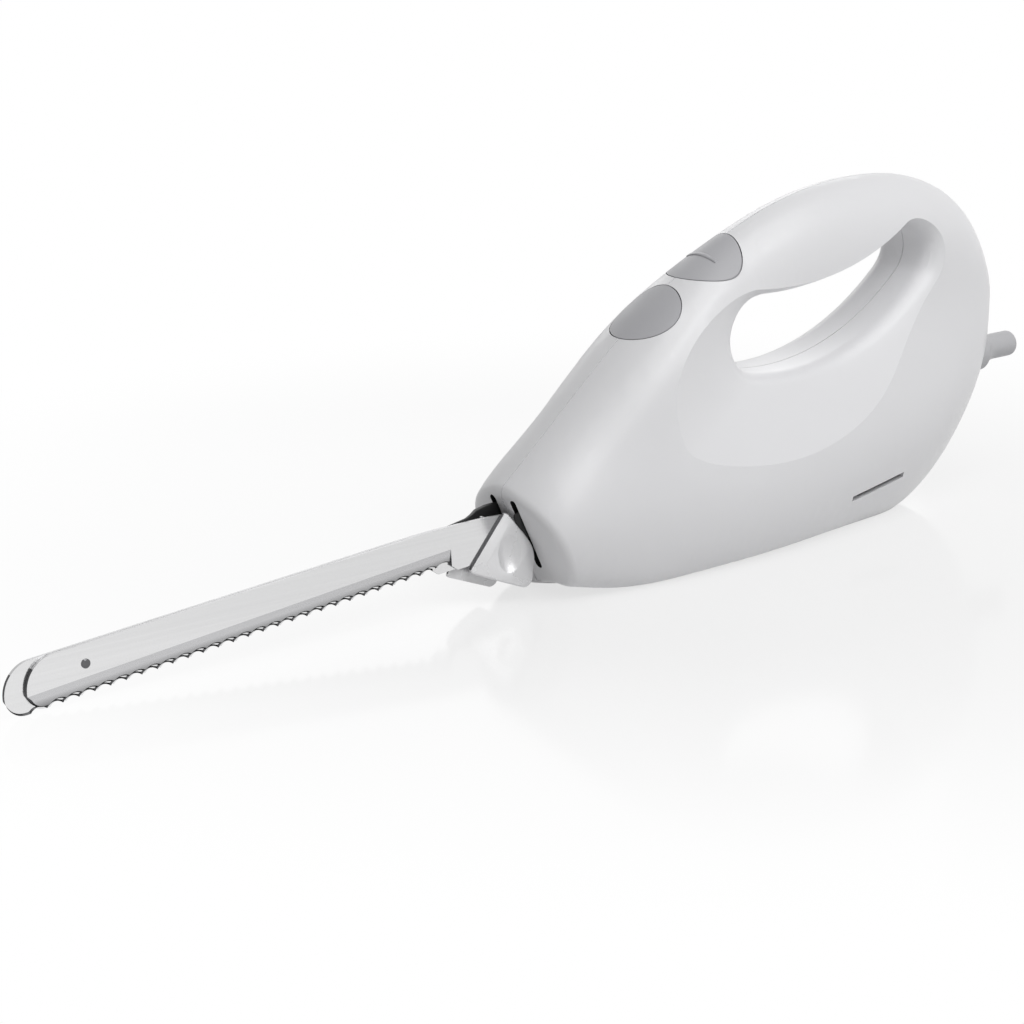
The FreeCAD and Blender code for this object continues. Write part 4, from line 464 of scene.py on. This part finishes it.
def tang_shade_sheet(side):
    """Black sheet of painted shade along a blade's tang and into the slot: a square, extruded from station
    to station.
    """
    stations = SHADE_SHEET_STATIONS[side]
    bpy.ops.object.select_all(action="DESELECT")
    bpy.ops.mesh.primitive_plane_add(size=SHADE_SHEET_BLANK, location=(0.0, 0.0, 0.0))
    shade_sheet = bpy.context.object
    shade_sheet.name = side + "_tang_shade_sheet"
    bpy.ops.object.mode_set(mode="EDIT")
    bpy.ops.mesh.select_all(action="SELECT")
    for _ in stations[1:]:
        bpy.ops.mesh.extrude_region_move(TRANSFORM_OT_translate={"value": (0.0, 0.0, SHADE_SHEET_STEP)})
    bpy.ops.object.mode_set(mode="OBJECT")
    rows = {}
    for vertex in shade_sheet.data.vertices:
        rows.setdefault(round(vertex.co.z / SHADE_SHEET_STEP), []).append(vertex)
    for row, (along, across, half, low, high) in enumerate(stations):
        for vertex in rows[row]:
            out = across + (half if vertex.co.x > 0 else -half)
            up = high if vertex.co.y > 0 else low
            vertex.co = on_drive(along + STROKE_AT_REST[side], HAND[side] * out, up)
    only(shade_sheet)
    bpy.ops.object.mode_set(mode="EDIT")
    bpy.ops.mesh.select_all(action="SELECT")
    bpy.ops.mesh.normals_make_consistent(inside=False)
    bpy.ops.object.mode_set(mode="OBJECT")
    rounding = shade_sheet.modifiers.new("rounding", "BEVEL")
    rounding.width = SHADE_SHEET_ROUND
    rounding.segments = SHADE_SHEET_SEGMENTS
    rounding.limit_method = "ANGLE"
    rounding.angle_limit = math.radians(SHADE_SHEET_CORNER)
    bpy.ops.object.modifier_apply(modifier="rounding")
    bpy.ops.object.shade_smooth_by_angle(angle=math.radians(SHADE_SHEET_ANGLE))
    # Painted shade: the sheet gets the black moulding.
    shade_sheet.data.materials.append(FINISHES["dark_moulding"])
    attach(shade_sheet, side + "_blade_unit")


def worn_rib(piece):
    """Lowers the finger rib across the power button to a worn ridge, and shades it as one soft swell."""
    along, up = axes(POWER_TILT)
    mesh = piece.data
    crest = set()
    for face in mesh.polygons:
        on_rib = abs((face.center - POWER_MIDDLE).dot(along)) < RIB_HALF and abs(face.center.y) < RIB_REACH
        if on_rib and face.normal.dot(up) > RIB_UP:
            crest.update(face.vertices)
    for corner in crest:
        mesh.vertices[corner].co -= RIB_WEAR * up
    for edge in mesh.edges:
        if crest.intersection(edge.vertices):
            edge.use_edge_sharp = False


def grip_painted_shadow(side):
    """Paints a shadow on the foot of a grip's thin front edge, where it meets the blade."""
    front = GRIP_OUTWARD[0] * DRIVE_ALONG + GRIP_OUTWARD[1] * BLADE_UP
    edge = on_drive(GRIP_FRONT[0] + STROKE_AT_REST[side], 0.0, GRIP_FRONT[1]).dot(front)
    refinished(SKINS[side + "_blade_grip"], "grip_painted_shadow",
               lambda face: face.center.dot(front) > edge - PAINTED_SHADOW_WIDTH)


def pressed_spring(piece):
    """Gives a button's return spring a mesh of its own."""
    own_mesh(piece)


def slot_wall(face):
    """Whether a casing's face is a wall of its blade slot."""
    place = face.center - DRIVE_ZERO
    beside = abs(abs(place.y) - SLOT_LANE) < SLOT_HALF
    level = SLOT_RISE[0] < place.dot(BLADE_UP) < SLOT_RISE[1]
    forward = place.dot(DRIVE_ALONG) < SLOT_BACK
    return beside and level and forward and abs(face.normal.dot(DRIVE_ALONG)) < SLOT_WALL


SKINS = {node: smoothed(node, CREASE.get(node, SMOOTH_ANGLE)) for node in SLOT_OF}
for side in ("right", "left"):
    ground_edges(SKINS[side + "_blade"])
    grip_painted_shadow(side)
    # Painted shade: the walls of the slots get the black moulding, as little light reaches them.
    refinished(SKINS[side + "_casing"], "dark_moulding", slot_wall)
    tang_shade_sheet(side)
# Painted shade: the rivet gets dark steel.
SKINS["blade_rivet"].data.materials[0] = FINISHES["rivet_steel_painted_shade"]
worn_rib(SKINS["power_button"])
pressed_spring(SKINS["power_spring"])
pressed_spring(SKINS["release_spring"])


def seen_ray(tree):
    """1 for what the camera sees, also in a reflection or through glass, and 0 for the light's own paths."""
    rays = tree.nodes.new("ShaderNodeLightPath")
    seen = math_node(tree, "MAXIMUM", rays.outputs["Is Camera Ray"], rays.outputs["Is Glossy Ray"])
    return math_node(tree, "MAXIMUM", seen, rays.outputs["Is Transmission Ray"])


def pale_floor():
    """A pale, slightly glossy floor, white to the camera away from the knife and shadowed near it."""
    bpy.ops.object.select_all(action="DESELECT")
    bpy.ops.mesh.primitive_plane_add(size=FLOOR_SIZE, location=(0.0, 0.0, FLOOR_LEVEL))
    floor = bpy.context.object
    floor.name = "floor"
    material = bpy.data.materials.new("floor_pale")
    material.use_nodes = True
    tree = material.node_tree
    shader = tree.nodes["Principled BSDF"]
    shader.inputs["Base Color"].default_value = FLOOR_COLOUR
    shader.inputs["Roughness"].default_value = FLOOR_ROUGHNESS
    glow = tree.nodes.new("ShaderNodeEmission")
    glow.inputs["Color"].default_value = WHITE
    away = tree.nodes.new("ShaderNodeVectorMath")
    away.operation = "LENGTH"
    tree.links.new(tree.nodes.new("ShaderNodeTexCoord").outputs["Object"], away.inputs[0])
    share = ranged(tree, away.outputs["Value"], GLOW_NEAR, GLOW_FAR, GLOW_LEAST, 1.0)
    share.interpolation_type = "SMOOTHSTEP"
    blend = tree.nodes.new("ShaderNodeMixShader")
    tree.links.new(math_node(tree, "MULTIPLY", seen_ray(tree), share.outputs["Result"]), blend.inputs["Fac"])
    tree.links.new(shader.outputs["BSDF"], blend.inputs[1])
    tree.links.new(glow.outputs["Emission"], blend.inputs[2])
    tree.links.new(blend.outputs["Shader"], tree.nodes["Material Output"].inputs["Surface"])
    floor.data.materials.append(material)


def white_surround():
    """White to the camera and in reflections, and a plain soft light of its own."""
    world = bpy.data.worlds.new("white_surround")
    bpy.context.scene.world = world
    world.use_nodes = True
    tree = world.node_tree
    light = tree.nodes["Background"]
    light.inputs["Color"].default_value = WHITE
    strength = ranged(tree, seen_ray(tree), 0.0, 1.0, SURROUND_LIGHT, 1.0)
    tree.links.new(strength.outputs["Result"], light.inputs["Strength"])


def soft_lamp(name, place, aim, size, power):
    """An oblong soft lamp at a place, turned towards a point."""
    data = bpy.data.lights.new(name, "AREA")
    data.shape = "RECTANGLE"
    data.size, data.size_y = size
    data.energy = power
    lamp = bpy.data.objects.new(name, data)
    lamp.location = place
    lamp.rotation_euler = (Vector(aim) - Vector(place)).to_track_quat("-Z", "Y").to_euler()
    bpy.context.collection.objects.link(lamp)


def photo_camera():
    """The camera at the photograph's place and angle."""
    data = bpy.data.cameras.new("photo_camera")
    data.sensor_width = SENSOR_WIDTH
    data.lens = LENS
    data.clip_start = CLIP_START
    camera = bpy.data.objects.new("photo_camera", data)
    camera.location = CAMERA_PLACE
    camera.rotation_euler = Vector(CAMERA_LOOK).to_track_quat("-Z", "Y").to_euler()
    bpy.context.collection.objects.link(camera)
    bpy.context.scene.camera = camera


pale_floor()
white_surround()
for lamp_row in LAMPS:
    soft_lamp(*lamp_row)
photo_camera()
bpy.context.scene.view_settings.view_transform = "Standard"
